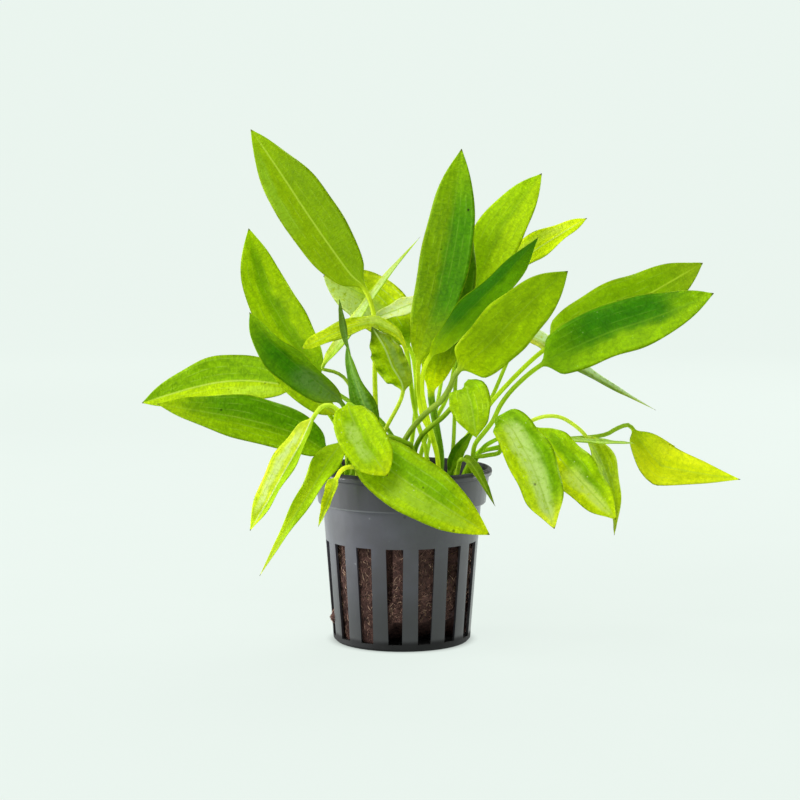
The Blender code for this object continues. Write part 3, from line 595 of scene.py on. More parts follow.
def leaf_finish(
    name, low, high, stem, soft=0.2, band=None, band_at=0.0, band_half=0.5, band_share=0.8, neck=None,
    tip=None, rib=(186, 216, 70), rib_share=0.5, veins=0.3, vein_tint=(196, 226, 90), sheen=None,
    sheen_at=0.0, sheen_half=0.3, sheen_along=(0.1, 0.9), sheen_share=0.6, mottle=0.26, specks=0.0, dots=0.0,
):
    """Leaf tissue. low and high colour the two halves of the blade, on either side of its midrib, partly as
    painted light and shade, and soft is how gradually one goes over into the other. band is a darker
    stripe along it, partly painted shade in its fold, and sheen a pale one of painted sheen; neck and tip
    colour its ends, and stem its stalk; specks are dark, dots are drops of water with painted glints."""
    made, shader, tone = finish(name)
    across, along, under = tone.stored("across"), tone.stored("along"), tone.stored("under")
    sheet = tone.stored("sheet", 1)
    cloud = tone.cloud(sheet, 0.17, 4.0)
    grain = tone.cloud(sheet, 0.9, 3.0)
    blotch = tone.cloud(sheet.vector("MULTIPLY", (0.85, 0.30, 1.0)), 0.8, 5.0).between(0.32, 0.68)
    stretched = sheet.vector("MULTIPLY", (0.55, 0.8, 1.0))
    net = tone.cells(stretched, 1.0, "DISTANCE_TO_EDGE")
    fleck = tone.cells(stretched, 2.6).between(0.32, 0.14) * grain.between(0.42, 0.6)
    warp = (cloud - 0.5) * 0.5
    # The two halves, partly painted light and shade: one side lit, the other shaded
    colour = (across + warp).between(-soft, soft).blend(shade(low), shade(high))
    # A darker stripe, partly painted shade along the blade's fold
    if band:
        mask = abs(across - band_at + warp).between(band_half, band_half * 0.35)
        mask = mask * along.between(0.02, 0.22) * along.between(1.0, 0.8)
        colour = colour.painted(mask * (0.55 + grain * 0.5) * band_share, band)
    if neck:
        colour = colour.painted((along + warp * 0.3).between(0.34, 0.0), neck)
    if tip:
        colour = colour.painted((along + warp * 0.3).between(0.66, 1.0), tip)
    depth = 0.5 + (cloud - 0.5) * mottle * 2.2 + (blotch - 0.5) * mottle * 1.3
    depth = depth + (grain - 0.5) * mottle * 3.6
    depth = depth - net.between(0.14, 0.0) * mottle * 0.8 + fleck * mottle * 1.4
    colour = depth.blend(colour.vector("MULTIPLY", DEEP), colour.vector("MULTIPLY", PALE))
    # Painted sheen: a pale stripe where the blade catches the light
    if sheen:
        mask = abs(across - sheen_at + warp).between(sheen_half, sheen_half * 0.3)
        mask = mask * along.between(sheen_along[0], sheen_along[0] + 0.15)
        mask = mask * along.between(sheen_along[1], sheen_along[1] - 0.15)
        colour = colour.painted(mask * grain.between(0.2, 0.55) * sheen_share, sheen)
    vein = tone.sum("COSINE", (across + warp * 0.06) * (2 * math.pi * VEIN_COUNT)) * 0.5 + 0.5
    vein = (vein**18.0) * along.between(0.0, 0.1) * along.between(1.0, 0.7) * blotch.between(0.1, 0.9)
    colour = colour.painted(vein * veins, vein_tint)
    line = abs(sheet.part(0)).between(0.42, 0.10) * along.between(0.0, 0.06) * along.between(1.0, 0.85)
    colour = colour.painted(line * rib_share, rib)
    # A painted highlight along the edge
    edge = abs(across).between(0.93, 1.0) * along.between(0.0, 0.1)
    colour = colour.painted(edge * 0.5, EDGE_HIGHLIGHT_COLOUR)
    colour = colour.painted(under * 0.2, UNDER_COLOUR)
    if specks:
        spot = tone.cells(sheet, 0.15).between(0.080, 0.035) * cloud.between(0.36, 0.46)
        colour = colour.painted(spot * specks, SPECK_COLOUR)
    # Drops of water: their bump and coat are real, and their bright colour is a painted glint
    wet_glints = tone.cells(sheet, 0.55).between(0.16, 0.10) * grain.between(0.5, 0.6)
    if dots:
        colour = colour.painted(wet_glints * dots, GLINT_COLOUR)
    streaks = tone.cloud(sheet.vector("MULTIPLY", (2.2, 0.12, 1.0)), 1.0)
    lighter = [min(part + 26, 255) for part in stem]
    stalk = streaks.between(0.3, 0.7).blend(shade(stem), shade(lighter)).vector("MULTIPLY", STALK_GAIN)
    colour = along.between(-0.03, 0.07).blend(stalk, colour)
    colour = colour.painted(along.between(0.98, 0.997), TIP_COLOUR)
    relief = (grain - 0.5) * 0.5 - vein * 0.8 + net.between(0.0, 0.3) * 0.6 + cloud + wet_glints * dots
    bump = tone.bump(0.55, 0.00022, relief)
    tone.fill(shader, {
        "Base Color": colour,
        "Roughness": 0.40 + grain * 0.22,
        "Specular IOR Level": 0.08,
        "Normal": bump,
        "Coat Weight": wet_glints * dots if dots else 0.0,
        "Coat Roughness": 0.12,
    })
    glow = tone.node("BsdfTranslucent", {}, {"Color": colour, "Normal": bump})
    tissue = Tone(made.node_tree, shader.outputs[0])
    surface = tone.node("MixShader", {}, {0: THROUGH, 1: tissue, 2: glow})
    tone.fill(made.node_tree.nodes["Material Output"], {"Surface": surface})
    return made


def leaf(
    name, crown, root, stalk, blade, width, roll=(0, 0), fold=10, thick=1.4, widest=0.45, blunt=0.8,
    full=2.2, wave=0.45, waves=2.6, **look
):
    """One leaf, along the same lines as its solid. root is its place on its crown as (degrees, distance),
    roll turns the blade about its midrib at its neck and its tip and fold raises its halves, in degrees.
    wave is how far its edge waves, in millimetres, and waves how often."""
    own = random.Random(name)
    seed = own.uniform(0.0, 50.0)
    x, y = CROWNS[crown]
    turn, away = math.radians(root[0]), root[1]
    foot_height = CROWN_FOOT + CROWN_HEIGHT + GAP
    start = Vector((x, y, foot_height)) + polar(turn, away)
    stalk_points = [start] + [placed(*point) for point in stalk]
    line = through(stalk_points + [placed(*point) for point in blade])
    neck = (len(stalk_points) - 1) * SPAN_POINTS
    stalk_rings = STALK_STEPS * (len(stalk_points) - 1)
    spots, stalk_length = at_length(line[:neck + 1], [i / stalk_rings for i in range(stalk_rings)])
    rings = [(spot, i / stalk_rings - 1.0) for i, spot in enumerate(spots)]
    shares = [(i / BLADE_STEPS) ** 1.12 for i in range(BLADE_STEPS + 1)]
    spots, blade_length = at_length(line[neck:], shares)
    rings += list(zip(spots, shares))
    count = len(rings)

    frames = [None] * count
    for i in range(count - 1, -1, -1):
        along = (rings[min(i + 1, count - 1)][0] - rings[max(i - 1, 0)][0]).normalized()
        u = rings[i][1]
        if i == 0:
            along = Vector((0, 0, 1)).lerp(along, 0.5).normalized()
        face = frames[i + 1][1] if u < 0 else Vector((0, -1, 0))
        face = (face - along * face.dot(along)).normalized()
        side = along.cross(face)
        if u >= 0:
            turned = math.radians(roll[0] + (roll[1] - roll[0]) * u)
            side, face = (
                side * math.cos(turned) + face * math.sin(turned),
                face * math.cos(turned) - side * math.sin(turned),
            )
        frames[i] = (side, face)

    corners = []
    numbers, sheet_values = {"across": [], "along": [], "under": []}, []
    rise = math.radians(fold)
    around_count = 2 * SECTION
    for (centre, u), (side, face) in zip(rings, frames):
        for k in range(around_count):
            v = k / SECTION * 2 - 1 if k <= SECTION else 3 - k / SECTION * 2
            below = k > SECTION
            circle = math.pi - k * math.pi / SECTION
            foot = 1.0 + 0.35 * max(-u - 0.75, 0.0) * 4
            s, f = thick / 2 * math.cos(circle) * foot, thick / 2 * math.sin(circle)
            half = thick / 2
            if u >= 0:
                uneven = 1.0 + UNEVEN_SLOW * math.sin(9.0 * u + seed + v)
                uneven += UNEVEN_FAST * math.sin(23.0 * u + seed * 2 + v)
                half = max(width / 2 * outline(u, widest, blunt, full) * uneven, TIP_HALF)
                flat = abs(v) ** 1.12 * half * math.sin(rise)
                if half > 1.0:
                    swell = wave * math.sin(2 * math.pi * waves * u + seed + 1.7 * v) * abs(v) ** 2.5
                    flat += swell * min(half / 4.0, 1.0)
                    flat += 0.05 * math.sin(abs(v) * math.pi * VEIN_COUNT * 2) * (1.0 - abs(v))
                skin = BLADE_THICK / 2 * (1.0 - abs(v) ** 4 * 0.7) * min(half, 1.0)
                rib = math.exp(-((v * half / RIB_HALF) ** 2)) * min(half / 0.8, 1.0)
                rib *= thick * (1.0 - u) / 2
                flat += -skin - rib if below else skin + 0.15 * rib
                if k in (0, SECTION):
                    flat -= skin
                mix = min(u / NECK_SHARE, 1.0)
                mix = mix * mix * (3 - 2 * mix)
                s += (v * half * math.cos(rise) - s) * mix
                f += (flat - f) * mix
            corners.append((centre + side * s + face * f) * MM)
            numbers["across"].append(v)
            numbers["along"].append(u)
            numbers["under"].append(float(below))
            length = u * (blade_length if u > 0 else stalk_length)
            sheet_values.extend((v * half, length, seed))
    # The corners of its rings run the other way round
    faces = [(face[0], *face[:0:-1]) for face in closed_rings(count, around_count)]
    made = piece_of(name, corners, faces, leaf_finish(name + "_tissue", **look))
    attributes = made.data.attributes
    for key, values in numbers.items():
        attributes.new(key, "FLOAT", "POINT").data.foreach_set("value", values)
    attributes.new("sheet", "FLOAT_VECTOR", "POINT").data.foreach_set("vector", sheet_values)
    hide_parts("leaf_" + name)
    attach(made, "root")


leaf(
    "tall_left", "left", (15, 5.6),
    [(-7.8, 60, -1), (-7.8, 67.8, 0), (-8.1, 79.1, 4), (-8.1, 95.8, 10), (-10.9, 104.8, 13.5)],
    [(-16.1, 110.4, 16), (-26.3, 124.7, 21), (-35.6, 138.8, 27), (-44.6, 152.1, 33)],
    width=18, roll=(-15, -20), fold=8, thick=1.5, blunt=0.65,
    low=(130, 178, 6), high=(122, 172, 2), soft=0.08, tip=(140, 190, 20), sheen=(160, 204, 60),
    sheen_at=-0.72, sheen_half=0.35, sheen_along=(0.35, 0.95), sheen_share=0.4, rib=(196, 222, 70),
    rib_share=0.85, veins=0.18, mottle=0.16, stem=(150, 182, 30),
)
leaf(
    "left_folded", "left", (180, 2.7),
    [(-13.7, 60.1, -5), (-17.6, 70.5, -8)],
    [(-24, 76.3, -11), (-32, 83.2, -15), (-39.4, 89.9, -19), (-45.3, 98.2, -22)],
    width=13.6, roll=(30, 30), fold=25, widest=0.5,
    low=(86, 150, 8), high=(112, 170, 22), soft=0.12, band=(56, 138, 4), band_at=-0.22, band_half=0.6,
    neck=(134, 180, 84), tip=(120, 176, 20), sheen=(128, 166, 84), sheen_at=-0.1, sheen_half=0.9,
    sheen_along=(-0.2, 0.5), sheen_share=0.8, rib_share=0.1, veins=0.1, stem=(104, 150, 30),
)
leaf(
    "left_yellowing", "left", (150, 5.4),
    [(-14.9, 58, -1), (-19.1, 66.9, 0)],
    [(-25.1, 71.1, 1.5), (-31.6, 76.5, 3), (-41.8, 86.9, 5)],
    width=8.5, roll=(-20, -20), fold=15, thick=1.2,
    low=(150, 198, 6), high=(160, 202, 10), soft=0.3, band=(110, 160, 10), band_at=0.4, band_share=0.5,
    neck=(160, 196, 10), mottle=0.3, stem=(130, 170, 20),
)
leaf(
    "far_left_upper", "left", (118, 5.4),
    [(-17.5, 60, 3), (-24.5, 71.4, 8), (-30.4, 75.3, 12)],
    [(-41.8, 77.4, 16), (-51, 77.6, 19), (-61.1, 75.9, 22), (-77.6, 71.1, 25)],
    width=16.5, roll=(-28, -25), fold=15,
    low=(158, 204, 6), high=(120, 176, 0), soft=0.1, sheen=(200, 228, 70), sheen_at=-0.5, sheen_half=0.4,
    sheen_along=(0.02, 0.5), rib=(206, 226, 90), rib_share=0.7, specks=0.4, stem=(140, 180, 20),
)
leaf(
    "far_left_lower", "left", (-178, 5.4),
    [(-18, 51, -5), (-21.6, 55.2, -8)],
    [(-30.4, 61.2, -11), (-45.3, 65.9, -16), (-60.3, 68.6, -19), (-73.1, 70.8, -20)],
    width=14.6, roll=(-32, -28), widest=0.4, blunt=0.7,
    low=(134, 188, 0), high=(92, 158, 0), soft=0.35, band=(84, 148, 0), band_at=0.1, band_half=0.6,
    band_share=0.5, tip=(150, 196, 10), rib_share=0.2, specks=0.8, stem=(100, 146, 14),
)
leaf(
    "hanging_pale", "left", (-95, 5.4),
    [(-13.4, 56, -13), (-16, 64.8, -18), (-19.1, 69, -20), (-22.7, 70.5, -22), (-26, 67.5, -25)],
    [(-30.6, 58.3, -27), (-35.9, 49, -30), (-40.6, 40.6, -32), (-45.6, 32.6, -33)],
    width=10.5, roll=(-42, -42), fold=30, thick=1.3, full=2.4,
    low=(140, 194, 20), high=(196, 232, 120), soft=0.1, tip=(176, 220, 60), sheen=(236, 248, 184),
    sheen_at=0.5, sheen_share=0.75, rib=(236, 244, 190), rib_share=0.6, veins=0.35,
    vein_tint=(196, 216, 80), mottle=0.2, specks=0.3, stem=(170, 206, 70),
)
leaf(
    "hanging_strap", "left", (-145, 5.6),
    [(-16, 55, -9), (-17.2, 59.3, -14)],
    [(-21.8, 53.8, -20), (-27.4, 44.4, -27), (-33.8, 34.4, -31), (-42.8, 18.9, -33)],
    width=8.8, roll=(-32, -32), fold=15, thick=1.3, widest=0.25, blunt=0.5, full=0.95, wave=0.7, waves=3,
    low=(150, 204, 10), high=(172, 218, 40), soft=0.3, neck=(160, 212, 30), tip=(182, 216, 104), mottle=0.2,
    stem=(120, 170, 20),
)
leaf(
    "rolled_small", "left", (-35, 5.4),
    [(-7.8, 51.1, -13), (-10.1, 50.8, -18), (-12.8, 51.6, -22), (-15.8, 51.9, -25.5),
     (-18, 51, -27.5), (-19.4, 48.8, -28.5)],
    [(-20.6, 45.6, -28.8), (-22.4, 40.6, -28.8), (-25.1, 33.8, -28.5)],
    width=4.6, roll=(-30, -30), fold=35, thick=1.3, widest=0.16, blunt=0.45, full=1.9,
    low=(166, 206, 10), high=(184, 220, 20), band=(116, 156, 10), band_share=0.4, neck=(190, 230, 80),
    mottle=0.4, specks=1, stem=(192, 217, 60),
)
leaf(
    "front_short", "left", (-68, 5.4),
    [(-10.4, 54, -11), (-10.4, 62, -17), (-13.2, 68.6, -22), (-16, 70.6, -26)],
    [(-14.4, 65.6, -30), (-10.9, 58.6, -34), (-4.3, 49.3, -38)],
    width=13.4, roll=(8, 8), fold=12, widest=0.5, blunt=0.45, full=3.6,
    low=(160, 212, 14), high=(164, 216, 16), band=(112, 184, 0), band_at=0.15, band_share=0.55,
    tip=(176, 218, 30), sheen=(206, 232, 110), sheen_at=0.25, sheen_half=0.35, sheen_along=(0.2, 0.8),
    sheen_share=0.8, specks=0.7, dots=0.5, stem=(130, 180, 20),
)
leaf(
    "twisted", "left", (0, 2.7),
    [(-8.2, 57.6, -4), (-8.3, 61.4, -5)],
    [(-9.7, 66.6, -5.5), (-12, 72.9, -6), (-14.6, 80.8, -7), (-15.9, 87, -7.5), (-17.9, 97, -8),
     (-18.6, 102, -8)],
    width=8.8, roll=(-4, 138), fold=6, thick=1.2, widest=0.36, blunt=0.7, full=2.1,
    low=(70, 128, 14), high=(88, 144, 36), band=(84, 150, 20), tip=(84, 128, 50), sheen=(176, 208, 140),
    sheen_at=0.1, sheen_half=0.5, sheen_share=0.3, rib_share=0.2, dots=0.4, stem=(100, 146, 40),
)
leaf(
    "strip_pale", "left", (75, 5.4),
    [(-10.7, 63.1, 6), (-13.7, 72.6, 10), (-17, 78.4, 12), (-20.6, 80.6, 13), (-23.6, 81.2, 13.2)],
    [(-22.4, 84, 13.6), (-17.4, 90.6, 15), (-5.6, 107.4, 19), (5.4, 120.5, 22)],
    width=5, roll=(42, 58), fold=12, thick=1.1, widest=0.22, blunt=0.6, full=1.6,
    low=(168, 206, 110), high=(146, 196, 70), sheen=(208, 226, 160), sheen_half=1, sheen_share=0.75,
    veins=0.7, vein_tint=(222, 236, 170), stem=(120, 158, 50),
)

# The leaves of the middle plant. They arch forward over the pot's collar and back between the other two
# plants; the ones in front are bright and wet, and the one curled beside the centre is ruffled.

leaf(
    "left_behind", "middle", (130, 5.4),
    [(-0.8, 56, 10.5), (-6.6, 66, 14), (-14.9, 71.1, 20), (-23.6, 77.4, 27)],
    [(-29.3, 86.3, 30), (-34.7, 94.1, 34), (-41.7, 107.2, 39), (-45.4, 123, 43)],
    width=16, roll=(-25, -20), widest=0.5,
    low=(142, 192, 2), high=(150, 198, 4), band=(88, 152, 0), band_at=0.02, band_half=0.42, band_share=0.75,
    neck=(122, 176, 6), rib_share=0.05, veins=0.15, mottle=0.22, stem=(104, 150, 20),
)
leaf(
    "front_collar", "middle", (-60, 5.4),
    [(3, 57.1, -7), (0.9, 59.2, -10), (-3.2, 60.8, -14), (-7.4, 60.4, -19)],
    [(-9.6, 57.6, -24), (-3, 50.6, -31), (10.6, 41.4, -37), (26.3, 31.4, -39)],
    width=17, roll=(8, 14), fold=8, thick=1.6, blunt=0.5, full=2.4,
    low=(142, 196, 4), high=(156, 208, 4), band=(104, 172, 0), band_at=-0.3, tip=(176, 214, 8),
    sheen=(176, 212, 60), sheen_at=0.35, sheen_half=0.4, sheen_along=(0.3, 0.95), veins=0.45,
    vein_tint=(190, 224, 90), specks=0.6, dots=0.5, stem=(124, 170, 14),
)
leaf(
    "broad_right", "middle", (-130, 5.4),
    [(-0.6, 56.5, -1), (0.9, 60.1, -4), (3.6, 64.2, -9), (7.5, 68.4, -13), (11.6, 71.7, -15),
     (14.2, 75.6, -16), (16.9, 80.9, -17.5)],
    [(25.2, 88, -20.5), (33, 96.2, -24), (41.2, 104.1, -27), (49.2, 110.4, -29)],
    width=16.9, roll=(-18, -18), fold=8, thick=1.7, widest=0.42, blunt=0.3, full=2.7,
    low=(142, 192, 4), high=(150, 200, 4), soft=0.5, band=(116, 164, 6), band_half=0.45, band_share=0.6,
    neck=(168, 214, 2), tip=(128, 178, 10), rib_share=0.12, veins=0.12, mottle=0.22, stem=(124, 160, 66),
)
leaf(
    "front_small", "middle", (-20, 5.4),
    [(3.6, 55, 0), (5.7, 61, -8), (8.9, 64.2, -13), (12.2, 66.9, -17), (15.8, 71, -21),
     (19.1, 75.6, -25)],
    [(19.7, 73.8, -28), (20.9, 69.6, -31), (22.2, 60.7, -34)],
    width=12.2, roll=(-10, -10), fold=8, thick=1.5, widest=0.4, blunt=0.24, full=2, wave=0.9, waves=2.2,
    low=(144, 196, 10), high=(150, 202, 12), band=(124, 184, 10), band_half=0.25, neck=(128, 188, 10),
    sheen=(166, 204, 50), sheen_at=0.3, sheen_share=0.4, stem=(112, 156, 24),
)
leaf(
    "curled", "middle", (-178, 5.4),
    [(-5.7, 58.6, 1), (-5.1, 62.8, -2), (0.3, 74.4, -4)],
    [(-3, 82.2, -5), (-5.3, 87.8, -6), (-9, 93.9, -6)],
    width=10.6, roll=(10, -20), fold=-25, thick=1.2, blunt=0.62, wave=1.7, waves=4.5,
    low=(156, 204, 4), high=(142, 184, 70), soft=0.06, tip=(70, 112, 20), sheen=(160, 190, 110),
    sheen_at=0.4, sheen_share=0.5, rib=(200, 222, 130), rib_share=1, stem=(165, 196, 70),
)
leaf(
    "broad_back", "middle", (85, 5.4),
    [(3, 60.1, 15), (4.2, 72, 20), (3.9, 80.9, 24), (2.2, 87.5, 27)],
    [(-5.4, 98, 31), (-11, 102.8, 34), (-23.3, 109, 39)],
    width=18, roll=(-25, -20), fold=8, full=2.4,
    low=(186, 220, 64), high=(186, 222, 64), soft=0.3, band=(166, 212, 16), band_at=0.2, neck=(124, 178, 4),
    sheen=(228, 244, 158), sheen_at=-0.65, sheen_half=0.95, sheen_along=(0.3, 1.3), sheen_share=0.95,
    veins=0.5, vein_tint=(214, 236, 150), stem=(140, 180, 20),
)
leaf(
    "streaked_back", "middle", (10, 5.6),
    [(8.9, 63.1, 13), (11.3, 75, 19), (13.1, 88.4, 25), (12.5, 98.2, 27), (9.5, 102.4, 26)],
    [(2.4, 100.3, 23), (-3, 98.2, 22), (-9.8, 95.8, 21)],
    width=7, roll=(-45, -45), thick=1.2,
    low=(206, 236, 140), high=(214, 240, 168), sheen=(232, 244, 196), sheen_half=1.8,
    sheen_along=(-0.2, 1.3), sheen_share=0.85, rib_share=0.7, veins=0.8, vein_tint=(226, 238, 170),
    stem=(150, 190, 60),
)
leaf(
    "creased_right", "middle", (45, 5.4),
    [(6.9, 60.1, 18), (13.7, 73.5, 27), (17, 88.4, 34), (22.6, 101.4, 38)],
    [(35.9, 113.7, 42), (43.8, 119.2, 43), (54.8, 126, 44)],
    width=11, roll=(42, 42), fold=20, thick=1.3, widest=0.55, wave=0.7,
    low=(192, 228, 60), high=(176, 216, 24), soft=0.1, neck=(110, 168, 0), sheen=(214, 230, 110),
    sheen_at=-0.5, sheen_half=0.35, sheen_share=0.5, rib=(214, 230, 120), rib_share=0.9, mottle=0.2,
    stem=(130, 172, 20),
)

# The leaves of the right plant. The tall ones in the centre are deep green and speckled, the broad ones
# at the right stand out level, and the outer ones hang over on thin arching stalks.

leaf(
    "tall_centre", "right", (180, 2.8),
    [(10.7, 54.4, -2), (8.1, 63.1, -1), (5.7, 68.7, 0), (4.8, 81.5, 2)],
    [(7.1, 91.4, 4), (10.3, 101.8, 7), (12.9, 113.7, 10), (15.2, 127.1, 13), (17.6, 146.4, 15)],
    width=15.8, roll=(10, 18), thick=1.5, widest=0.5, full=2.6,
    low=(112, 164, 0), high=(76, 148, 0), soft=0.35, band=(66, 138, 0), band_at=0.32, band_half=0.62,
    band_share=0.85, neck=(152, 196, 0), tip=(124, 178, 6), rib_share=0.08, veins=0.15, mottle=0.28,
    specks=1, stem=(165, 198, 30),
)
# This leaf's bright neck colour is partly painted light, where the leaves in front shade it
leaf(
    "tall_behind", "right", (125, 5.4),
    [(11.6, 54.1, 3), (10.4, 63.1, 6), (8.7, 73.2, 9)],
    [(9.6, 79.5, 10), (13.7, 98.3, 13), (16.2, 110.1, 16), (19.8, 127, 19)],
    width=14, roll=(-8, -8), fold=8, thick=2.2,
    low=(112, 166, 0), high=(86, 142, 0), neck=(216, 250, 0), tip=(100, 152, 0), rib_share=0.1, specks=0.5,
    stem=(92, 142, 10),
)
leaf(
    "arching_yellow", "right", (165, 5.6),
    [(7.2, 56.6, 3), (4.8, 64.8, 4), (3.3, 72, 5), (2.3, 80, 5), (1.4, 86.2, 5)],
    [(-1.4, 91.4, 4.5), (-5.2, 93.7, 3.5), (-9.2, 95, 2), (-18.4, 92.4, 1), (-29.8, 87.4, 1)],
    width=6.2, roll=(-40, -40), fold=15, widest=0.78, blunt=0.75, full=2.6, wave=0.7,
    low=(156, 198, 4), high=(168, 208, 8), neck=(190, 220, 60), sheen=(214, 234, 120), sheen_at=0.3,
    sheen_half=0.7, sheen_along=(0.1, 0.55), rib_share=0.6, veins=0.6, vein_tint=(226, 240, 130),
    mottle=0.3, stem=(150, 190, 40),
)
leaf(
    "narrow_dark", "right", (-125, 4),
    [(10.6, 55, -7), (9.5, 60.1, -7), (7.2, 68.4, -7), (6, 76.5, -7), (7.8, 84.2, -7)],
    [(17.3, 96.2, -9), (24.8, 103.7, -12), (32.2, 111.3, -14), (40.3, 120.3, -16)],
    width=13.5, roll=(-45, -45), fold=12, thick=1.3,
    low=(80, 154, 2), high=(120, 182, 4), soft=0.3, band=(62, 140, 2), band_at=-0.3, band_half=0.6,
    band_share=0.7, neck=(178, 224, 20), tip=(72, 140, 6), rib_share=0.1, veins=0.1, mottle=0.16,
    stem=(172, 206, 30),
)
leaf(
    "upright_right", "right", (95, 2.8),
    [(15.2, 57.1, 3), (15.7, 67.8, 10), (16.1, 79.4, 17), (17.9, 90.9, 22)],
    [(21.7, 104.9, 26), (25.8, 115.1, 29), (31, 125.2, 33), (41.3, 139.2, 38)],
    width=16.4, roll=(20, 25), fold=8, thick=1.2, widest=0.5, full=2.4,
    low=(150, 202, 4), high=(156, 204, 6), band=(112, 168, 4), band_half=0.3, band_share=0.45,
    neck=(132, 182, 0), rib_share=0.05, veins=0.18, mottle=0.24, stem=(112, 156, 20),
)
leaf(
    "right_slim", "right", (80, 5.6),
    [(15.8, 55.6, 6), (21.8, 64.5, 11), (26.8, 72.9, 15), (31.4, 83.6, 19), (34.4, 89.6, 21)],
    [(39.6, 90.4, 23), (46.6, 86, 25), (60.8, 77, 28), (75.8, 68.9, 29)],
    width=7.4, roll=(38, 53), thick=1.2, widest=0.22, blunt=0.5, full=0.95,
    low=(166, 204, 120), high=(116, 160, 84), soft=0.15, band=(104, 146, 76), band_at=0.3, band_half=0.4,
    neck=(190, 214, 130), tip=(164, 190, 150), sheen=(216, 235, 200), sheen_at=-0.55, sheen_half=1,
    sheen_along=(-0.2, 1.3), sheen_share=0.85, vein_tint=(206, 222, 190), stem=(130, 172, 24),
)
leaf(
    "right_upper", "right", (50, 3),
    [(17.5, 54.7, 2), (20.9, 62.2, 4), (26.5, 71.1, 7), (36.4, 81.8, 10), (43.2, 87.6, 12)],
    [(51.6, 92.6, 15), (62, 98.4, 19), (73.4, 103.6, 24), (89.2, 112.8, 31)],
    width=17, roll=(25, 20), blunt=0.36, full=2.6, wave=0.6, waves=3.2,
    low=(132, 186, 4), high=(128, 182, 4), soft=0.1, band=(108, 166, 4), band_at=-0.3, band_share=0.4,
    neck=(136, 190, 0), tip=(134, 180, 50), rib=(190, 218, 50), rib_share=0.9, veins=0.2, mottle=0.2,
    stem=(150, 188, 30),
)
leaf(
    "right_lower", "right", (-12, 5.4),
    [(21, 54.1, -6), (21.8, 58.6, -8), (24.5, 62.2, -9), (27.1, 65.7, -9), (29.6, 70.8, -9),
     (33.9, 76.2, -9), (41.2, 82.3, -10)],
    [(52.2, 88, -12), (62.3, 92.3, -15), (76.8, 97.2, -19), (92.6, 103.8, -22)],
    width=17, roll=(28, 25), widest=0.42, blunt=0.34, full=2.5,
    low=(72, 146, 0), high=(130, 186, 0), soft=0.45, band=(40, 122, 0), band_at=-0.28, band_half=0.78,
    band_share=0.85, neck=(120, 180, 0), tip=(136, 190, 6), rib=(150, 200, 40), rib_share=0.25, veins=0.08,
    dots=0.2, stem=(140, 182, 36),
)
leaf(
    "drooping_inner", "right", (-38, 5.6),
    [(21.2, 53.8, -10), (25.1, 55.3, -14), (29.4, 56.6, -18), (28.9, 62.5, -23), (28.3, 66.3, -27)],
    [(31.6, 64.8, -31), (35.4, 58.6, -35), (39.4, 51, -37), (45.7, 33.2, -38)],
    width=15, roll=(25, 25), fold=12, thick=1.3, widest=0.5, blunt=0.55, full=2.4, wave=0.75, waves=3.2,
    low=(140, 200, 20), high=(176, 222, 30), soft=0.3, band=(104, 176, 20), band_at=-0.6, band_half=0.26,
    band_share=0.6, neck=(124, 184, 20), tip=(206, 240, 118), sheen=(220, 240, 150), sheen_half=0.58,
    sheen_along=(0.08, 1), sheen_share=0.9, specks=0.6, dots=0.7, stem=(120, 166, 20),
)
leaf(
    "drooping_middle", "right", (6, 5.8),
    [(23.3, 56.5, -5.5), (29.2, 60.7, -9), (34.6, 63.7, -11), (38.8, 64, -13)],
    [(44.1, 58, -17), (50.1, 51.1, -20), (56.9, 43.8, -23), (64.2, 36, -25)],
    width=14.5, roll=(28, 28), fold=12, thick=1.2, blunt=0.6, full=2.6, wave=0.75, waves=3.2,
    low=(156, 210, 14), high=(188, 228, 12), band=(92, 160, 0), band_at=-0.38, band_half=0.3,
    band_share=0.7, tip=(190, 232, 50), sheen=(226, 242, 124), sheen_at=0.1, sheen_half=0.55,
    sheen_along=(0.42, 1), sheen_share=0.9, specks=0.8, dots=0.8, stem=(130, 178, 30),
)
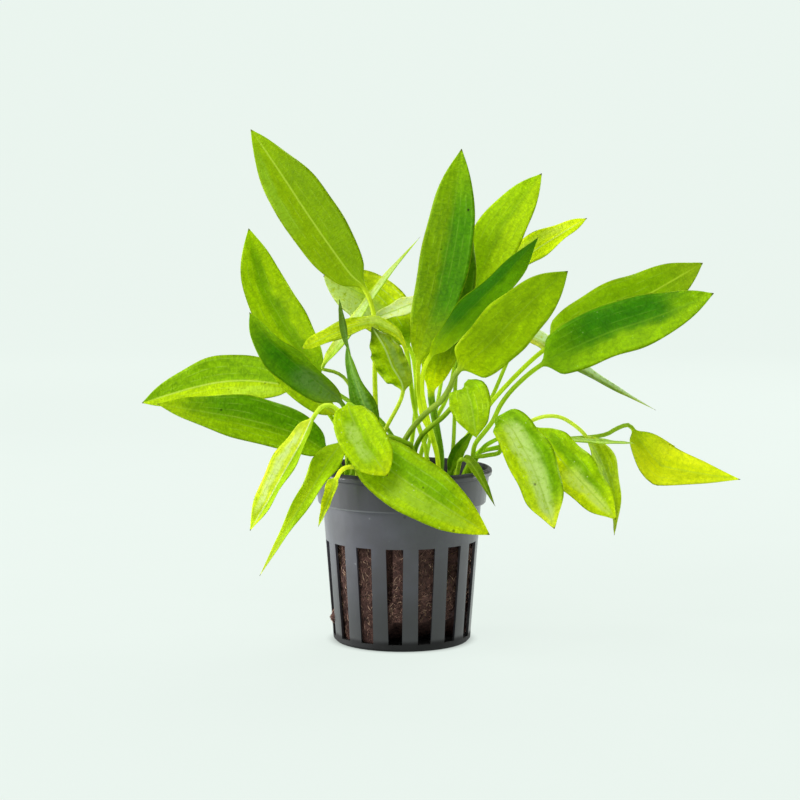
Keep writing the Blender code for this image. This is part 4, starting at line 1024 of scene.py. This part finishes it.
leaf(
    "drooping_outer", "right", (32, 5.6),
    [(22.1, 55.6, 3), (32.8, 62.8, 4), (38.5, 65.7, 5), (42.7, 67.1, 6), (47.1, 66.9, 6), (51, 64.8, 6),
     (54.6, 61.6, 6)],
    [(58, 56.4, 7), (61.2, 49, 8), (63.5, 39, 8), (63.7, 31.2, 8)],
    width=11, roll=(48, 48), fold=15, thick=1.2, widest=0.36, full=1.3,
    low=(164, 206, 4), high=(158, 204, 2), band=(116, 168, 0), band_half=0.6, band_share=0.6,
    tip=(150, 184, 80), rib_share=0.3, stem=(178, 208, 96),
)
leaf(
    "level_slim", "right", (18, 3),
    [(21.3, 55, -1.5), (27.7, 57.7, -4), (42.1, 60.4, -6), (47.7, 60.4, -6)],
    [(53.1, 59.8, -6), (59.1, 59.3, -6), (69.6, 59, -6)],
    width=4.6, roll=(78, 78), thick=1.1,
    low=(138, 192, 4), high=(150, 204, 8), rib_share=0.1, veins=0.1, stem=(136, 184, 24),
)
leaf(
    "far_right", "right", (57, 5.8),
    [(21.8, 55.3, 8), (30.7, 58, 11), (41.2, 59.8, 13), (58.8, 61.2, 14), (64.2, 63.5, 12),
     (67, 64.5, 10), (68.6, 63.8, 8)],
    [(71.2, 59.6, 5), (76.6, 53.2, 1.6), (79, 51.9, 0.7), (88.2, 50.1, -4), (101.3, 48.1, -9)],
    width=14.4, roll=(18, 18), fold=20, thick=1.3, widest=0.38, blunt=1.15, full=1.16,
    low=(196, 226, 66), high=(192, 224, 54), soft=0.6, band=(176, 210, 0), band_half=0.6, band_share=0.6,
    neck=(160, 204, 10), tip=(190, 226, 60), rib_share=0.25, veins=0.25, mottle=0.18, stem=(120, 160, 40),
)
leaf(
    "young_right", "right", (-80, 2.8),
    [(14.4, 50, -7)],
    [(16.1, 55.6, -10), (18.5, 59.2, -13), (21.2, 62.8, -15)],
    width=4.5, fold=30, thick=1.8,
    low=(92, 152, 20), high=(110, 166, 34), rib_share=0.2, stem=(80, 136, 14),
)
leaf(
    "over_rim", "right", (-68, 5.6),
    [(17, 52.8, -13), (18.3, 54.2, -17)],
    [(20.3, 53.2, -21), (23.5, 48.2, -24), (27.9, 40, -26)],
    width=3.8, roll=(30, 30), fold=30, thick=1.2, widest=0.35, blunt=0.5, full=1.5,
    low=(104, 150, 14), high=(124, 172, 24), tip=(74, 96, 20), specks=0.4, stem=(140, 184, 50),
)
